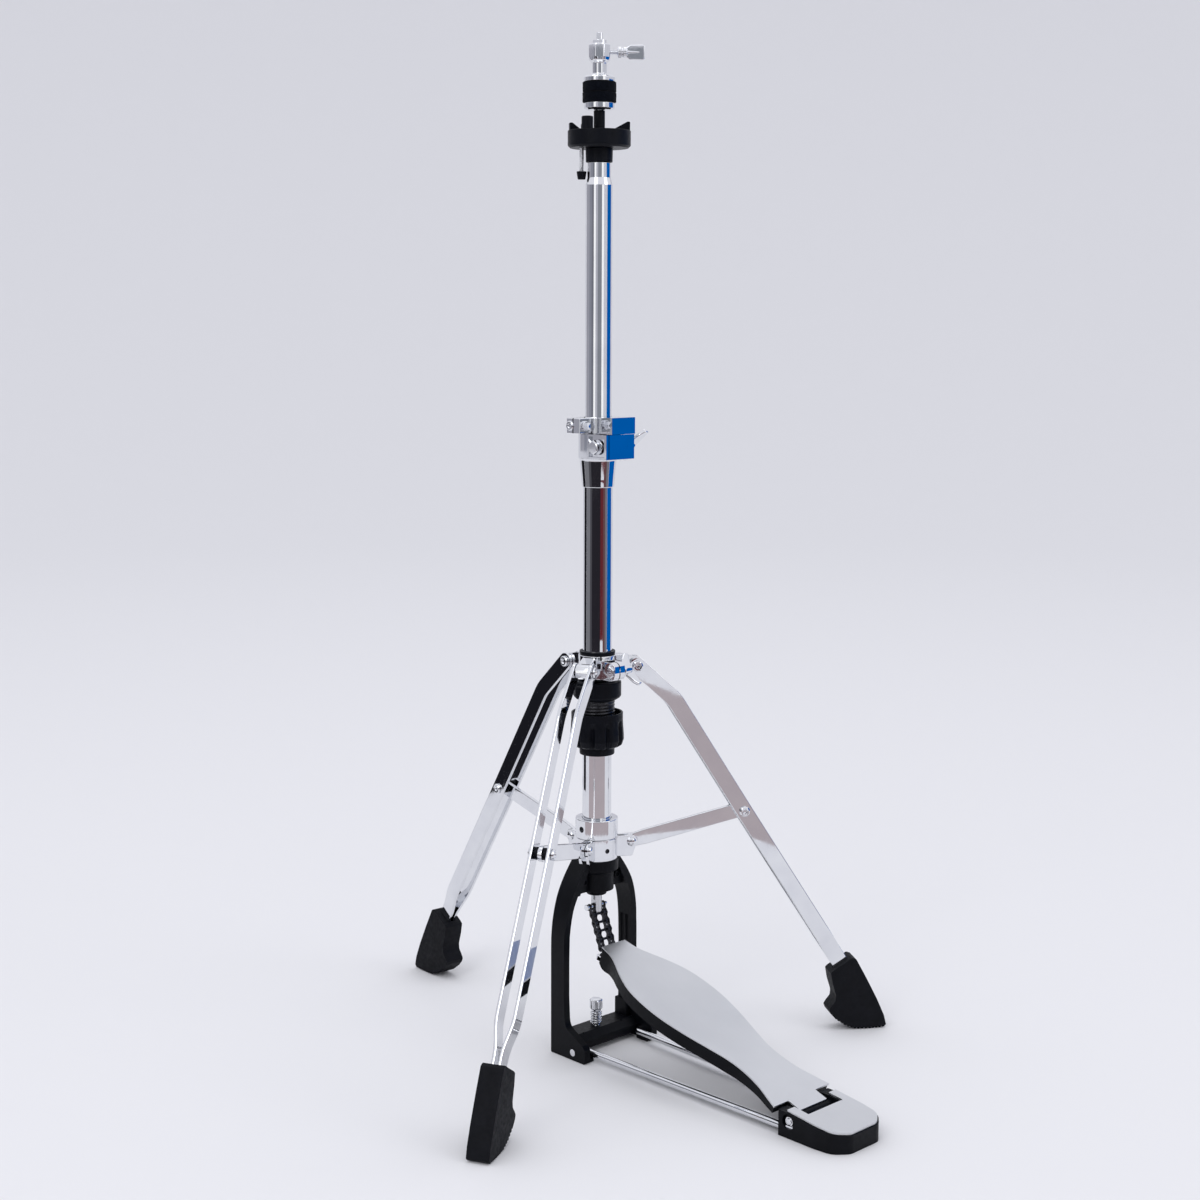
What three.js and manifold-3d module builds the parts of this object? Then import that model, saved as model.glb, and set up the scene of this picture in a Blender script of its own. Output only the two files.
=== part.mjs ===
// Hi-hat stand in millimetres. Origin: floor under the column, +Z up, the pedal reaches out along -Y.
import * as THREE from 'three';
import { mergeVertices } from 'three/addons/utils/BufferGeometryUtils.js';
import Module from 'manifold-3d';

const wasm = await Module();
wasm.setup();

// ---- driving dimensions ----------------------------------------------------------------------
const GAP = 0.3; // air left where two pieces meet
const TAU = Math.PI * 2;

const ROD_R = 3;
const UPPER_TUBE_R = 12.7;
const LOWER_TUBE_R = 14.3;
const TUBE_WALL = 1.5;

// heights along the column, from the floor up
const CASTING_TOP = 191.2;
const HUB_TOP = 213;
const STOP_RING_TOP = 232.5;
const DIAL_SEAT_Z = [296.5, 303.4];
const DIAL_Z = [303.7, 338.4];
const TENSION_RING_Z = [351, 369.8];
const COLLAR_Z = [372.5, 395.4];
const CLAMP_Z = [558.4, 609.8];
const LOCK_Z = [610.1, 625.8];
const UPPER_TUBE_Z = [500, 863];
const SEAT_HUB_Z = [863.3, 876];
const SEAT_CUP_TOP = 892.3;
const SLEEVE_TOP = 910.7;
const CLUTCH_NUT_Z = [911, 917.5];
const FELT_THICKNESS = 9.2;
const CLUTCH_FLANGE_TOP = 942;
const CLUTCH_HEAD_Z = [956, 971];
const ROD_TOP = 981.5;

// clamp bolts run along X, in front of the column
const COLLAR_BOLT = { near: 37, z: 384 };
const CLAMP_BOLT = { near: 18.5, z: 598 };
const KEY_SCREW = { x: -26, z: 618 };
const CLUTCH_SCREW_DEGREES = -43.65;
const TILTER_DEGREES = 136.35;
const FIRST_PRONG_DEGREES = 78;
const RING_LUG_DEGREES = -170;

// tripod, in each leg's own plane: r outward, z up
const LEG_ANGLES = { left: -153.4, right: -33.4, rear: 86.6 };
const LEG_PIVOT = [38, 384];
const LEG_BEND = [75, 350];
const LEG_RIVET = [147.5, 234];
const LEG_END = [262, 54];
const LEG_DEPTH = 16.5;
const LEG_BAR = 3.2;
const LEG_HALF_SPREAD = 8.5;
const LEG_END_SPREAD = 3.2; // the bars come together in the foot
const BRACE_PIVOT = [34, 207];
const BRACE_DEPTH = 15;
const BRACE_BAR = 4;
const PIVOT_PIN_R = 2.9;
const OPEN_PIVOT_R = 5; // oversize hole at the leg rivet
const FOOT_HALF_WIDTH = 11;

// pedal, as distances in front of the column
const TOE = { out: 24.6, z: 109 };
const PEDAL_SLOPE = 18.57 * Math.PI / 180;
const PEDAL_HINGE = { out: 283, z: 15.5 };
const FRAME_ROD = { radius: 3.5, z: 8, rear: 37.5, front: 29.5 };
const PIN_R = 3;
const BOARD_LENGTH = 258.5;
const BOARD_DEPTH = 15;
const TOE_DEPTH = 22; // the skirt is deeper beside the chain's clip
const HEEL_RECESS = 22.5;

const CHAIN_TOP = { out: 0, z: 142 };
const CHAIN_LENGTH = 42;
const CHAIN_TILT = 22 * Math.PI / 180;

// ---- finishes --------------------------------------------------------------------------------
const finish = (color, roughness, metalness) => () =>
  new THREE.MeshStandardMaterial({ color, roughness, metalness });
const chrome = finish(0xd6d8dc, 0.12, 1);
const satin = finish(0xb9bbbf, 0.35, 0.9);
const blackCast = finish(0x1b1c1e, 0.5, 0.3);
const blackPlastic = finish(0x151516, 0.55, 0);
const rubber = finish(0x18181a, 0.8, 0);
const felt = finish(0x1a1a1b, 1, 0);
const blackSteel = finish(0x202124, 0.35, 0.8);

const group = new THREE.Group();

// ---- solids ----------------------------------------------------------------------------------
function solid(geometry) {
  const bare = geometry.clone();
  bare.deleteAttribute('normal');
  bare.deleteAttribute('uv');
  const merged = mergeVertices(bare, 1e-4);
  const triangles = Uint32Array.from(merged.index.array);
  const build = () => new wasm.Manifold(new wasm.Mesh({
    numProp: 3,
    vertProperties: Float32Array.from(merged.attributes.position.array),
    triVerts: triangles,
  }));
  const body = build();
  if (body.volume() >= 0) return body;
  for (let i = 0; i < triangles.length; i += 3) {
    [triangles[i + 1], triangles[i + 2]] = [triangles[i + 2], triangles[i + 1]];
  }
  return build();
}

const join = (...parts) => parts.reduce((all, part) => all.add(part));
const cut = (body, ...parts) => parts.reduce((rest, part) => rest.subtract(part), body);

function add(name, body, material) {
  const mesh = body.getMesh();
  const geometry = new THREE.BufferGeometry();
  const corners = Float32Array.from(mesh.vertProperties);
  geometry.setAttribute('position', new THREE.BufferAttribute(corners, 3));
  geometry.setIndex(new THREE.BufferAttribute(Uint32Array.from(mesh.triVerts), 1));
  geometry.computeVertexNormals();
  const node = new THREE.Mesh(geometry, material());
  node.name = name;
  group.add(node);
}

function box(x, y, z) {
  const shape = new THREE.BoxGeometry(x[1] - x[0], y[1] - y[0], z[1] - z[0]);
  return solid(shape.translate((x[0] + x[1]) / 2, (y[0] + y[1]) / 2, (z[0] + z[1]) / 2));
}

// round bar from point a to point b
function bar(a, b, radius, sides = 12, endRadius = radius) {
  const from = new THREE.Vector3(...a);
  const along = new THREE.Vector3(...b).sub(from);
  const shape = new THREE.CylinderGeometry(endRadius, radius, along.length(), sides);
  shape.translate(0, along.length() / 2, 0);
  const turn = new THREE.Quaternion().setFromUnitVectors(new THREE.Vector3(0, 1, 0), along.normalize());
  return solid(shape.applyQuaternion(turn).translate(...a));
}

const post = (radius, z, x = 0, y = 0, sides = 24) => bar([x, y, z[0]], [x, y, z[1]], radius, sides);
const ring = (inner, outer, z, sides = 24) =>
  cut(post(outer, z, 0, 0, sides), post(inner, [z[0] - 1, z[1] + 1], 0, 0, sides));

// solid of revolution about the column from [radius, z] points that start and end on the axis
function turned(points, sides = 24) {
  const profile = points.map(([r, z]) => new THREE.Vector2(r, z));
  return solid(new THREE.LatheGeometry(profile, sides).rotateX(Math.PI / 2));
}

// flat outline pushed through a thickness; frame gives the outline's two axes, its depth and origin
function plate(outline, depth, frame) {
  const shape = new THREE.Shape(outline.map(([a, b]) => new THREE.Vector2(a, b)));
  const body = new THREE.ExtrudeGeometry(shape, { depth: depth[1] - depth[0], bevelEnabled: false });
  return solid(body.translate(0, 0, depth[0]).applyMatrix4(frame));
}

function frameOf(first, second, origin = [0, 0, 0]) {
  const a = new THREE.Vector3(...first);
  const b = new THREE.Vector3(...second);
  const matrix = new THREE.Matrix4().makeBasis(a, b, a.clone().cross(b));
  return matrix.setPosition(...origin);
}

const arc = (cx, cy, r, from, to, steps) => Array.from({ length: steps + 1 }, (_, i) => {
  const angle = from + (to - from) * i / steps;
  return [cx + r * Math.cos(angle), cy + r * Math.sin(angle)];
});

// outline is in plan (x, distance in front), side is (distance in front, z), front is (x, z)
const PLAN = frameOf([1, 0, 0], [0, -1, 0]);
const SIDE = frameOf([0, -1, 0], [0, 0, 1]);
const FRONT = frameOf([1, 0, 0], [0, 0, 1]);

// a frame turned about the column: r along the given angle, sideways to its left
function around(degrees) {
  const angle = degrees * Math.PI / 180;
  const out = [Math.cos(angle), Math.sin(angle), 0];
  const left = [-Math.sin(angle), Math.cos(angle), 0];
  return {
    frame: frameOf(out, [0, 0, 1]),
    at: (r, sideways, z) => [out[0] * r + left[0] * sideways, out[1] * r + left[1] * sideways, z],
  };
}

// ---- base casting, its bush, bolt and spur ---------------------------------------------------
function archOutline() {
  const right = [
    [50, 0], [50, 110], [49.3, 125], [47, 139], [42, 158], [33.5, 175], [27, 185], [22, CASTING_TOP],
  ];
  return [...right, ...right.map(([x, z]) => [-x, z]).reverse()];
}

function archOpening() {
  const right = [
    [42.5, -1], [42.5, 105], [41.6, 126], [39, 144], [34, 160],
  ];
  return [...right, ...right.map(([x, z]) => [-x, z]).reverse()];
}

// shallow pocket in the front of the web, inside the two ribs
function webPocket() {
  const right = [[33.5, 150], [30, 164], [23, 177], [15, CASTING_TOP + 1]];
  return plate([...right, ...right.map(([x, z]) => [-x, z]).reverse()], [4.5, 40], FRONT);
}

function baseCasting() {
  const side = [[-12, 0], [36.5, 0], [36.5, 14], [33, 18], [8, 31], [6.5, 60], [6.5, 120], [10, 165],
    [10, CASTING_TOP], [-12, CASTING_TOP]];
  const arch = plate(archOutline(), [-20, 40], FRONT).intersect(plate(side, [-60, 60], SIDE));
  const opened = cut(arch, plate(archOpening(), [-60, 60], FRONT), webPocket());
  const boss = join(post(17, [160, CASTING_TOP]), post(21.5, [180, CASTING_TOP]));
  const bridge = plate([[-12, 5], [16, 5], [16, 13], [8, 19], [-12, 19]], [-43, 43], SIDE);
  const step = box([37, 43], [-5, 11.6], [18, 36]);
  const body = join(opened, boss, bridge, step);
  const spurHole = post(4.4, [0, 40]);
  const rodHoles = bar([-60, -20, FRAME_ROD.z], [60, -20, FRAME_ROD.z], FRAME_ROD.radius + GAP);
  const socket = post(LOWER_TUBE_R + GAP, [166, 200]);
  const bore = post(6.4, [150, 200]);
  add('base_casting', cut(body, spurHole, rodHoles, socket, bore), blackCast);
  add('casting_bush', cut(turned([[0, 154.6], [10, 154.6], [10, 159.6], [6.1, 159.6], [6.1, 165.7],
    [0, 165.7]]), post(5.65, [150, 170])), blackPlastic);
}

function spur() {
  const shank = join(post(3.9, [2.5, 35]), bar([0, 0, 0], [0, 0, 2.6], 2, 24, 3.9));
  const head = join(post(6.4, [34.3, 44], 0, 0, 16), post(5.2, [43.5, 45.4], 0, 0, 16));
  add('spur_bolt', join(shank, head), chrome);
  add('spur_spring', coil(5, 0.65, 5, [20.2, 33.2]), chrome);
}

// wire wound about the column's axis
function coil(radius, wireR, turns, z) {
  const perTurn = 10;
  const last = turns * perTurn;
  const points = Array.from({ length: last + 1 }, (_, i) => {
    const angle = i / perTurn * TAU;
    const height = z[0] + wireR + (z[1] - z[0] - 2 * wireR) * i / last;
    return new THREE.Vector3(radius * Math.cos(angle), radius * Math.sin(angle), height);
  });
  const section = arc(0, 0, wireR, 0, TAU * 5 / 6, 5).map(([a, b]) => new THREE.Vector2(a, b));
  const extrudePath = new THREE.CatmullRomCurve3(points);
  const path = { steps: turns * 13, bevelEnabled: false, extrudePath };
  return solid(new THREE.ExtrudeGeometry(new THREE.Shape(section), path));
}

// ---- column ----------------------------------------------------------------------------------
function baseTube() {
  const inner = LOWER_TUBE_R - TUBE_WALL;
  const tube = ring(inner, LOWER_TUBE_R, [166.3, 330]);
  const springSeat = ring(5.8, inner + 0.5, [236, 240]);
  add('base_tube', join(tube, springSeat), chrome);
  add('main_tube', ring(inner + 0.2, LOWER_TUBE_R, [330.3, 575]), chrome);
}

function hubWithBrackets() {
  let hub = ring(LOWER_TUBE_R + GAP, 20.4, [CASTING_TOP + GAP, HUB_TOP]);
  for (const degrees of Object.values(LEG_ANGLES)) {
    const { frame, at } = around(degrees);
    const [r, z] = BRACE_PIVOT;
    const lug = [[18, 193], [r + 2, 193], ...arc(r, z, 6, -0.9, 1.7, 4), [18, HUB_TOP]];
    const inside = BRACE_BAR / 2 + GAP;
    for (const s of [-1, 1]) {
      const depth = s > 0 ? [inside, inside + 3] : [-inside - 3, -inside];
      hub = hub.add(plate(lug, depth, frame));
      hub = hub.add(bar(at(r, s * (inside + 2.5), z), at(r, s * 8.2, z), 4.6));
    }
    hub = hub.add(bar(at(r, -inside - 1, z), at(r, inside + 1, z), PIVOT_PIN_R));
  }
  add('lower_hub', cut(hub, post(LOWER_TUBE_R + GAP, [190, 215])), chrome);
  add('stop_ring', ring(LOWER_TUBE_R + GAP, 21, [HUB_TOP + GAP, STOP_RING_TOP]), chrome);
}

function tensionUnit() {
  const sleeveR = LOWER_TUBE_R + GAP;
  const threadR = 17.4;
  add('tension_seat', ring(sleeveR, 17.2, DIAL_SEAT_Z), blackPlastic);
  const threads = [];
  for (let z = DIAL_Z[1] + 0.6; z < TENSION_RING_Z[0] - 2.4; z += 2.4) {
    threads.push([threadR - 0.8, z], [threadR, z + 0.9], [threadR, z + 1.3], [threadR - 0.8, z + 2.2]);
  }
  const sleeveZ = [DIAL_Z[0] + GAP, TENSION_RING_Z[0] - GAP];
  const sleeve = cut(turned([[0, sleeveZ[0]], [threadR - 0.8, sleeveZ[0]], ...threads,
    [threadR - 0.8, sleeveZ[1]], [0, sleeveZ[1]]]), post(sleeveR, [300, 360]));
  add('tension_sleeve', sleeve, blackSteel);
  let dial = turned([[0, DIAL_Z[0]], [23, DIAL_Z[0]], [26.4, DIAL_Z[0] + 4], [26.4, DIAL_Z[1] - 9],
    [21, DIAL_Z[1] - 2], [19, DIAL_Z[1]], [0, DIAL_Z[1]]], 36);
  const flutes = 12;
  const fluteRing = 28;
  for (let i = 0; i < flutes; i += 1) {
    const angle = (i + 0.5) * TAU / flutes;
    const [x, y] = [fluteRing * Math.cos(angle), fluteRing * Math.sin(angle)];
    dial = dial.subtract(post(3.4, [DIAL_Z[0] - 1, DIAL_Z[1] + 1], x, y, 10));
  }
  add('tension_dial', cut(dial, post(threadR + GAP, [300, 345])), blackPlastic);
  const { at, frame } = around(RING_LUG_DEGREES);
  const lug = plate([[20, 354], [29, 354], [29, 367], [20, 367]], [-4.5, 4.5], frame);
  const upper = join(ring(LOWER_TUBE_R + GAP, 23.5, TENSION_RING_Z), lug,
    bar(at(25, 4, 360.5), at(25, 7.5, 360.5), 3, 12));
  add('tension_ring', upper, blackPlastic);
}

// block with its near side given as distances in front of the column
const block = (x, near, z) => box(x, [-near[1], -near[0]], z);
const across = (x, near, z) => [x, -near, z];

// wing screw along X: the stem starts at from, the boss at base; the blade is turned about the stem
function wingScrew({ near, z }, from, base, stemR, span, reach, turn) {
  const blade = [
    ...arc(base + 5, 0, 6, -2.5, -1.1, 3),
    [base + reach * 0.45, -span * 0.75], [base + reach * 0.8, -span], [base + reach, -span * 0.93],
    [base + reach * 0.9, -span * 0.4], [base + reach * 0.75, 0],
    [base + reach * 0.9, span * 0.4], [base + reach, span * 0.93], [base + reach * 0.8, span],
    [base + reach * 0.45, span * 0.75],
    ...arc(base + 5, 0, 6, 1.1, 2.5, 3),
  ];
  const angle = turn * Math.PI / 180;
  const frame = frameOf([1, 0, 0], [0, -Math.sin(angle), Math.cos(angle)], [0, -near, z]);
  return join(bar(across(from, near, z), across(base + 1, near, z), stemR, 16),
    bar(across(base, near, z), across(base + 11, near, z), 5.4, 16, 4.4),
    plate(blade, [-1.9, 1.9], frame));
}

function tripodCollar() {
  let collar = ring(LOWER_TUBE_R + 1.4, 18.6, COLLAR_Z);
  for (const degrees of Object.values(LEG_ANGLES)) {
    const { frame, at } = around(degrees);
    const [r, z] = LEG_PIVOT;
    const half = LEG_HALF_SPREAD - LEG_BAR / 2 - GAP;
    const lugEnd = arc(r, z, 7.5, -1.1, 1.7, 6);
    const lug = [[16.5, COLLAR_Z[0]], [30, COLLAR_Z[0]], ...lugEnd, [16.5, COLLAR_Z[1]]];
    collar = join(collar, plate(lug, [-half, half], frame),
      bar(at(r, -half - 5, z), at(r, half + 5, z), PIVOT_PIN_R));
    for (const s of [-1, 1]) {
      const face = LEG_HALF_SPREAD + LEG_BAR / 2 + GAP;
      collar = collar.add(bar(at(r, s * face, z), at(r, s * (face + 2), z), 5.2));
    }
  }
  const { near, z } = COLLAR_BOLT;
  const ears = block([-17, -3], [10, near + 5], [375, 393]);
  const slit = block([-10.6, -9.4], [10, near + 10], [370, 400]);
  const hole = bar(across(-15, near, z), across(2, near, z), 3.4);
  collar = cut(collar.add(ears), slit, hole, post(LOWER_TUBE_R + 1.4, [360, 410]));
  add('tripod_collar', collar, chrome);
  add('collar_bush', cut(turned([[0, 370.7], [17.4, 370.7], [17.4, 372.2], [LOWER_TUBE_R + 1.1, 372.2],
    [LOWER_TUBE_R + 1.1, 395.7], [17, 395.7], [17, 399], [0, 399]]),
  post(LOWER_TUBE_R + GAP, [365, 405])), blackPlastic);
  add('collar_wing_bolt', wingScrew(COLLAR_BOLT, -14.6, -2.6, 3.1, 18.5, 17, -37), chrome);
}

// the big ear block is on the tube; a narrow ear on its left carries the hex head
function heightClamp() {
  const { near, z } = CLAMP_BOLT;
  const body = turned([[0, CLAMP_Z[0]], [15.4, CLAMP_Z[0]], [17.8, 584], [19, 586], [19, CLAMP_Z[1]],
    [0, CLAMP_Z[1]]]);
  const ears = block([-20, 17], [6, 32], [586.5, CLAMP_Z[1]]);
  const slit = block([-16.9, -15.9], [14, 40], [586, 612]);
  const hole = bar(across(-30, near, z), across(20, near, z), 3.4);
  const tubeEnd = post(LOWER_TUBE_R + GAP, [550, 575.3]);
  const bore = post(UPPER_TUBE_R + GAP, [570, 620]);
  add('height_clamp', cut(body.add(ears), slit, hole, tubeEnd, bore), chrome);
  add('clamp_hex_bolt', join(bar(across(-25.2, near, z), across(-20.3, near, z), 6.6, 6),
    bar(across(-21, near, z), across(16, near, z), 2.6)), chrome);
  add('clamp_wing_nut', cut(wingScrew(CLAMP_BOLT, 17.3, 17.4, 5, 22, 18, 45),
    bar(across(10, near, z), across(17.5, near, z), 3)), chrome);
}

function memoryLock() {
  const { x, z } = KEY_SCREW;
  const lock = join(post(17.6, LOCK_Z, 0, 0, 12),
    block([-14, 18], [8, 32], LOCK_Z), block([-33, -8], [-9, 9], [LOCK_Z[0] + 1, LOCK_Z[1] - 1]));
  const bore = post(UPPER_TUBE_R + GAP, [600, 640]);
  const slit = block([-40, -12], [-0.7, 0.7], [600, 640]);
  const stud = (from, to, radius, sides = 16) => bar([x, from, z], [x, to, z], radius, sides);
  add('memory_lock', cut(lock, bore, slit, stud(20, -20, 2.6)), chrome);
  const screw = join(stud(8, -9.6, 2.2), stud(-9.3, -11.5, 4.6), stud(-11.2, -17, 3.2, 4));
  add('lock_key_screw', screw, chrome);
}

function upperTube() {
  const outer = turned([[0, UPPER_TUBE_Z[0]], [UPPER_TUBE_R, UPPER_TUBE_Z[0]], [UPPER_TUBE_R, 843],
    [11.2, 848], [11.2, UPPER_TUBE_Z[1]], [0, UPPER_TUBE_Z[1]]]);
  const inner = turned([[0, 490], [UPPER_TUBE_R - TUBE_WALL, 490], [UPPER_TUBE_R - TUBE_WALL, 840],
    [9.7, 846], [9.7, 870], [0, 870]]);
  add('upper_tube', cut(outer, inner), chrome);
}

// ---- bottom cymbal seat and its tilter -------------------------------------------------------
function seat() {
  const bore = post(ROD_R + 0.6, [780, 1000]);
  add('seat_hub', cut(turned([[0, 850], [9.3, 850], [9.3, SEAT_HUB_Z[0]], [12.6, SEAT_HUB_Z[0]],
    [12.9, SEAT_HUB_Z[1]], [0, SEAT_HUB_Z[1]]]), bore), blackPlastic);
  const underside = SEAT_HUB_Z[1] + GAP;
  let cup = turned([[0, underside], [27.6, underside + 0.3], [29.6, underside + 2.4],
    [29.6, SEAT_CUP_TOP], [0, SEAT_CUP_TOP]]);
  const prong = [[11, 888], [28.4, 888], [28.4, 900.6], [25.5, 900.6], [11, 893.4]];
  for (let i = 0; i < 3; i += 1) {
    const { frame } = around(FIRST_PRONG_DEGREES + i * 120);
    cup = cup.add(plate(prong, [-3, 3], frame));
  }
  const { at } = around(TILTER_DEGREES);
  const screwAt = at(16.5, 0, 0);
  const screwHole = post(2.6, [870, 910], screwAt[0], screwAt[1], 20);
  const sleeveHole = post(6.1, [870, 910]);
  add('seat_cup', cut(cup, sleeveHole, screwHole), blackPlastic);
  add('seat_sleeve', cut(post(5.3, [SEAT_HUB_Z[1] + GAP, SLEEVE_TOP]), bore), blackPlastic);
  const [x, y] = screwAt;
  add('tilter_screw', post(2.2, [855.3, 886], x, y, 20), chrome);
  add('tilter_knob', post(4.6, [847.5, 855], x, y, 10), blackPlastic);
}

// ---- pull rod, clutch ------------------------------------------------------------------------
function pullRod() {
  add('pull_rod', join(post(ROD_R, [256.3, ROD_TOP]), post(9.8, [328, 331])), chrome);
  const lower = post(5.3, [136, 256]);
  const flats = [-1, 1].map((side) => box(side > 0 ? [4, 20] : [-20, -4], [-20, 20], [130, 149]));
  const pinHole = bar([-20, 0, CHAIN_TOP.z], [20, 0, CHAIN_TOP.z], 2.2, 20);
  add('lower_rod', cut(lower, ...flats, pinHole), satin);
  add('chain_pin', join(bar([-13, 0, CHAIN_TOP.z], [13, 0, CHAIN_TOP.z], 1.9, 20),
    bar([-14, 0, CHAIN_TOP.z], [-12.4, 0, CHAIN_TOP.z], 3.2, 16)), chrome);
  add('return_spring', coil(9, 1.1, 7, [240.4, 327.6]), blackSteel);
}

function clutch() {
  const bore = post(ROD_R + GAP, [900, 990]);
  const nutTop = CLUTCH_NUT_Z[1];
  const feltTops = [nutTop + GAP + FELT_THICKNESS, nutTop + 2 * (GAP + FELT_THICKNESS)];
  const flangeZ = feltTops[1] + GAP;
  const [headZ, headTop] = CLUTCH_HEAD_Z;
  const body = turned([[0, nutTop - 4], [6, nutTop - 4], [6, flangeZ], [14.6, flangeZ],
    [14.6, CLUTCH_FLANGE_TOP], [6.9, CLUTCH_FLANGE_TOP], [6.9, headZ], [10.6, headZ],
    [10.6, headTop], [6.5, headTop], [6.5, 974.6], [0, 974.6]]);
  const { at } = around(CLUTCH_SCREW_DEGREES);
  const z = (CLUTCH_HEAD_Z[0] + CLUTCH_HEAD_Z[1]) / 2;
  const screwHole = bar(at(2, 0, z), at(20, 0, z), 2.6, 16);
  add('clutch_body', cut(body, bore, screwHole), chrome);
  const upper = [[42, z + 5.5], [41, z + 7.2], [31, z + 6.6], [25, z + 4]];
  const wing = [...upper.map(([r, high]) => [r, 2 * z - high]).reverse(), ...upper];
  add('clutch_wing_screw', join(bar(at(4, 0, z), at(17, 0, z), 2.3, 16),
    bar(at(16.5, 0, z), at(26, 0, z), 5.2, 16),
    plate(wing, [-1.7, 1.7], around(CLUTCH_SCREW_DEGREES).frame)), chrome);
  add('lower_felt', ring(6 + GAP, 16, [nutTop + GAP, feltTops[0]]), felt);
  add('upper_felt', ring(6 + GAP, 16, [feltTops[0] + GAP, feltTops[1]]), felt);
  const nut = cut(post(14.3, CLUTCH_NUT_Z), post(6 + GAP, [CLUTCH_NUT_Z[0] + 2, 930]), bore);
  add('clutch_nut', nut, chrome);
}

// ---- legs, braces, feet ----------------------------------------------------------------------
// flat bar bent in its own plane: stations are [r, z, sideways], depth is measured across the bend
function bentBar(stations, depth, thickness, at) {
  const positions = [];
  const count = stations.length;
  stations.forEach(([r, z, sideways, scale = 1], i) => {
    const before = stations[Math.max(i - 1, 0)];
    const after = stations[Math.min(i + 1, count - 1)];
    const dr = after[0] - before[0];
    const dz = after[1] - before[1];
    const length = Math.hypot(dr, dz);
    const up = [-dz / length * depth / 2 * scale, dr / length * depth / 2 * scale];
    for (const [side, across] of [[-1, -1], [1, -1], [1, 1], [-1, 1]]) {
      positions.push(...at(r + up[0] * across, sideways + side * thickness / 2, z + up[1] * across));
    }
  });
  const faces = [0, 2, 1, 0, 3, 2];
  for (let i = 0; i < count - 1; i += 1) {
    for (let j = 0; j < 4; j += 1) {
      const a = i * 4 + j;
      const b = i * 4 + (j + 1) % 4;
      faces.push(a, b, b + 4, a, b + 4, a + 4);
    }
  }
  const last = (count - 1) * 4;
  faces.push(last, last + 1, last + 2, last, last + 2, last + 3);
  const geometry = new THREE.BufferGeometry();
  geometry.setAttribute('position', new THREE.Float32BufferAttribute(positions, 3));
  geometry.setIndex(faces);
  return solid(geometry);
}

// stations that round a bar's end off past a pivot at point p, along direction [dr, dz]
function roundEnd(p, direction, depth, sideways, outward) {
  const reach = depth / 2;
  const steps = [1.35, 1.1, 0.75, 0.3].map((angle) => [Math.sin(angle) * reach, Math.cos(angle)]);
  const stations = steps.map(([along, scale]) =>
    [p[0] + direction[0] * along, p[1] + direction[1] * along, sideways, scale]);
  return outward ? stations.reverse() : stations;
}

const unit = (from, to) => {
  const length = Math.hypot(to[0] - from[0], to[1] - from[1]);
  return [(to[0] - from[0]) / length, (to[1] - from[1]) / length];
};

const FOOT_PROFILE = [
  [240.5, 61], [256, 71.5], [262.5, 76], [267, 74], [279, 52.5], [290, 31], [298, 13], [300.5, 4],
  [298, 0.6], [284, 0], [268, 0.6], [257, 4.5], [247, 11.5], [239.5, 21.5], [242, 26], [246, 31],
  [246.5, 36], [242.5, 50],
];

function leg(name, degrees) {
  const { frame, at } = around(degrees);
  const top = unit(LEG_BEND, LEG_PIVOT);
  const slope = unit(LEG_RIVET, LEG_END);
  const step = (d) => [LEG_END[0] - slope[0] * d, LEG_END[1] - slope[1] * d];
  for (const [label, s] of [['outer', -1], ['inner', 1]]) {
    const wide = s * LEG_HALF_SPREAD;
    const narrow = s * LEG_END_SPREAD;
    const stations = [
      ...roundEnd(LEG_PIVOT, top, LEG_DEPTH, wide, false),
      [...LEG_PIVOT, wide], [69, 355.5, wide], [78, 345.5, wide], [...LEG_RIVET, wide],
      [...step(62), wide], [...step(34), s * 4.2], [...step(26), narrow], [...LEG_END, narrow],
    ];
    const holes = [[LEG_PIVOT, PIVOT_PIN_R], [LEG_RIVET, PIVOT_PIN_R - 0.3]].map(([[r, z], pin]) =>
      bar(at(r, -20, z), at(r, 20, z), pin + GAP));
    add(`${name}_leg_${label}_bar`, cut(bentBar(stations, LEG_DEPTH, LEG_BAR, at), ...holes), chrome);
  }
  const [r, z] = LEG_RIVET;
  const face = LEG_HALF_SPREAD + LEG_BAR / 2 + GAP;
  let rivet = bar(at(r, -face - 1, z), at(r, face + 1, z), PIVOT_PIN_R - 0.3);
  const spacer = [BRACE_BAR / 2 + GAP, LEG_HALF_SPREAD - LEG_BAR / 2 - GAP];
  for (const s of [-1, 1]) {
    rivet = join(rivet, bar(at(r, s * face, z), at(r, s * (face + 2.2), z), 5.2, 20, 3.6),
      bar(at(r, s * spacer[0], z), at(r, s * spacer[1], z), 5.8));
  }
  add(`${name}_leg_rivet`, rivet, chrome);
  const pocketEnd = [LEG_END[0] + slope[0] * 1.5, LEG_END[1] + slope[1] * 1.5];
  const pocketWidth = 2 * (LEG_END_SPREAD + LEG_BAR / 2 + GAP);
  const pocket = bentBar([[...step(60), 0], [...pocketEnd, 0]], LEG_DEPTH + 2 * GAP, pocketWidth, at);
  const foot = plate(FOOT_PROFILE, [-FOOT_HALF_WIDTH, FOOT_HALF_WIDTH], frame);
  add(`${name}_foot`, cut(foot, pocket), rubber);
}

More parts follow.
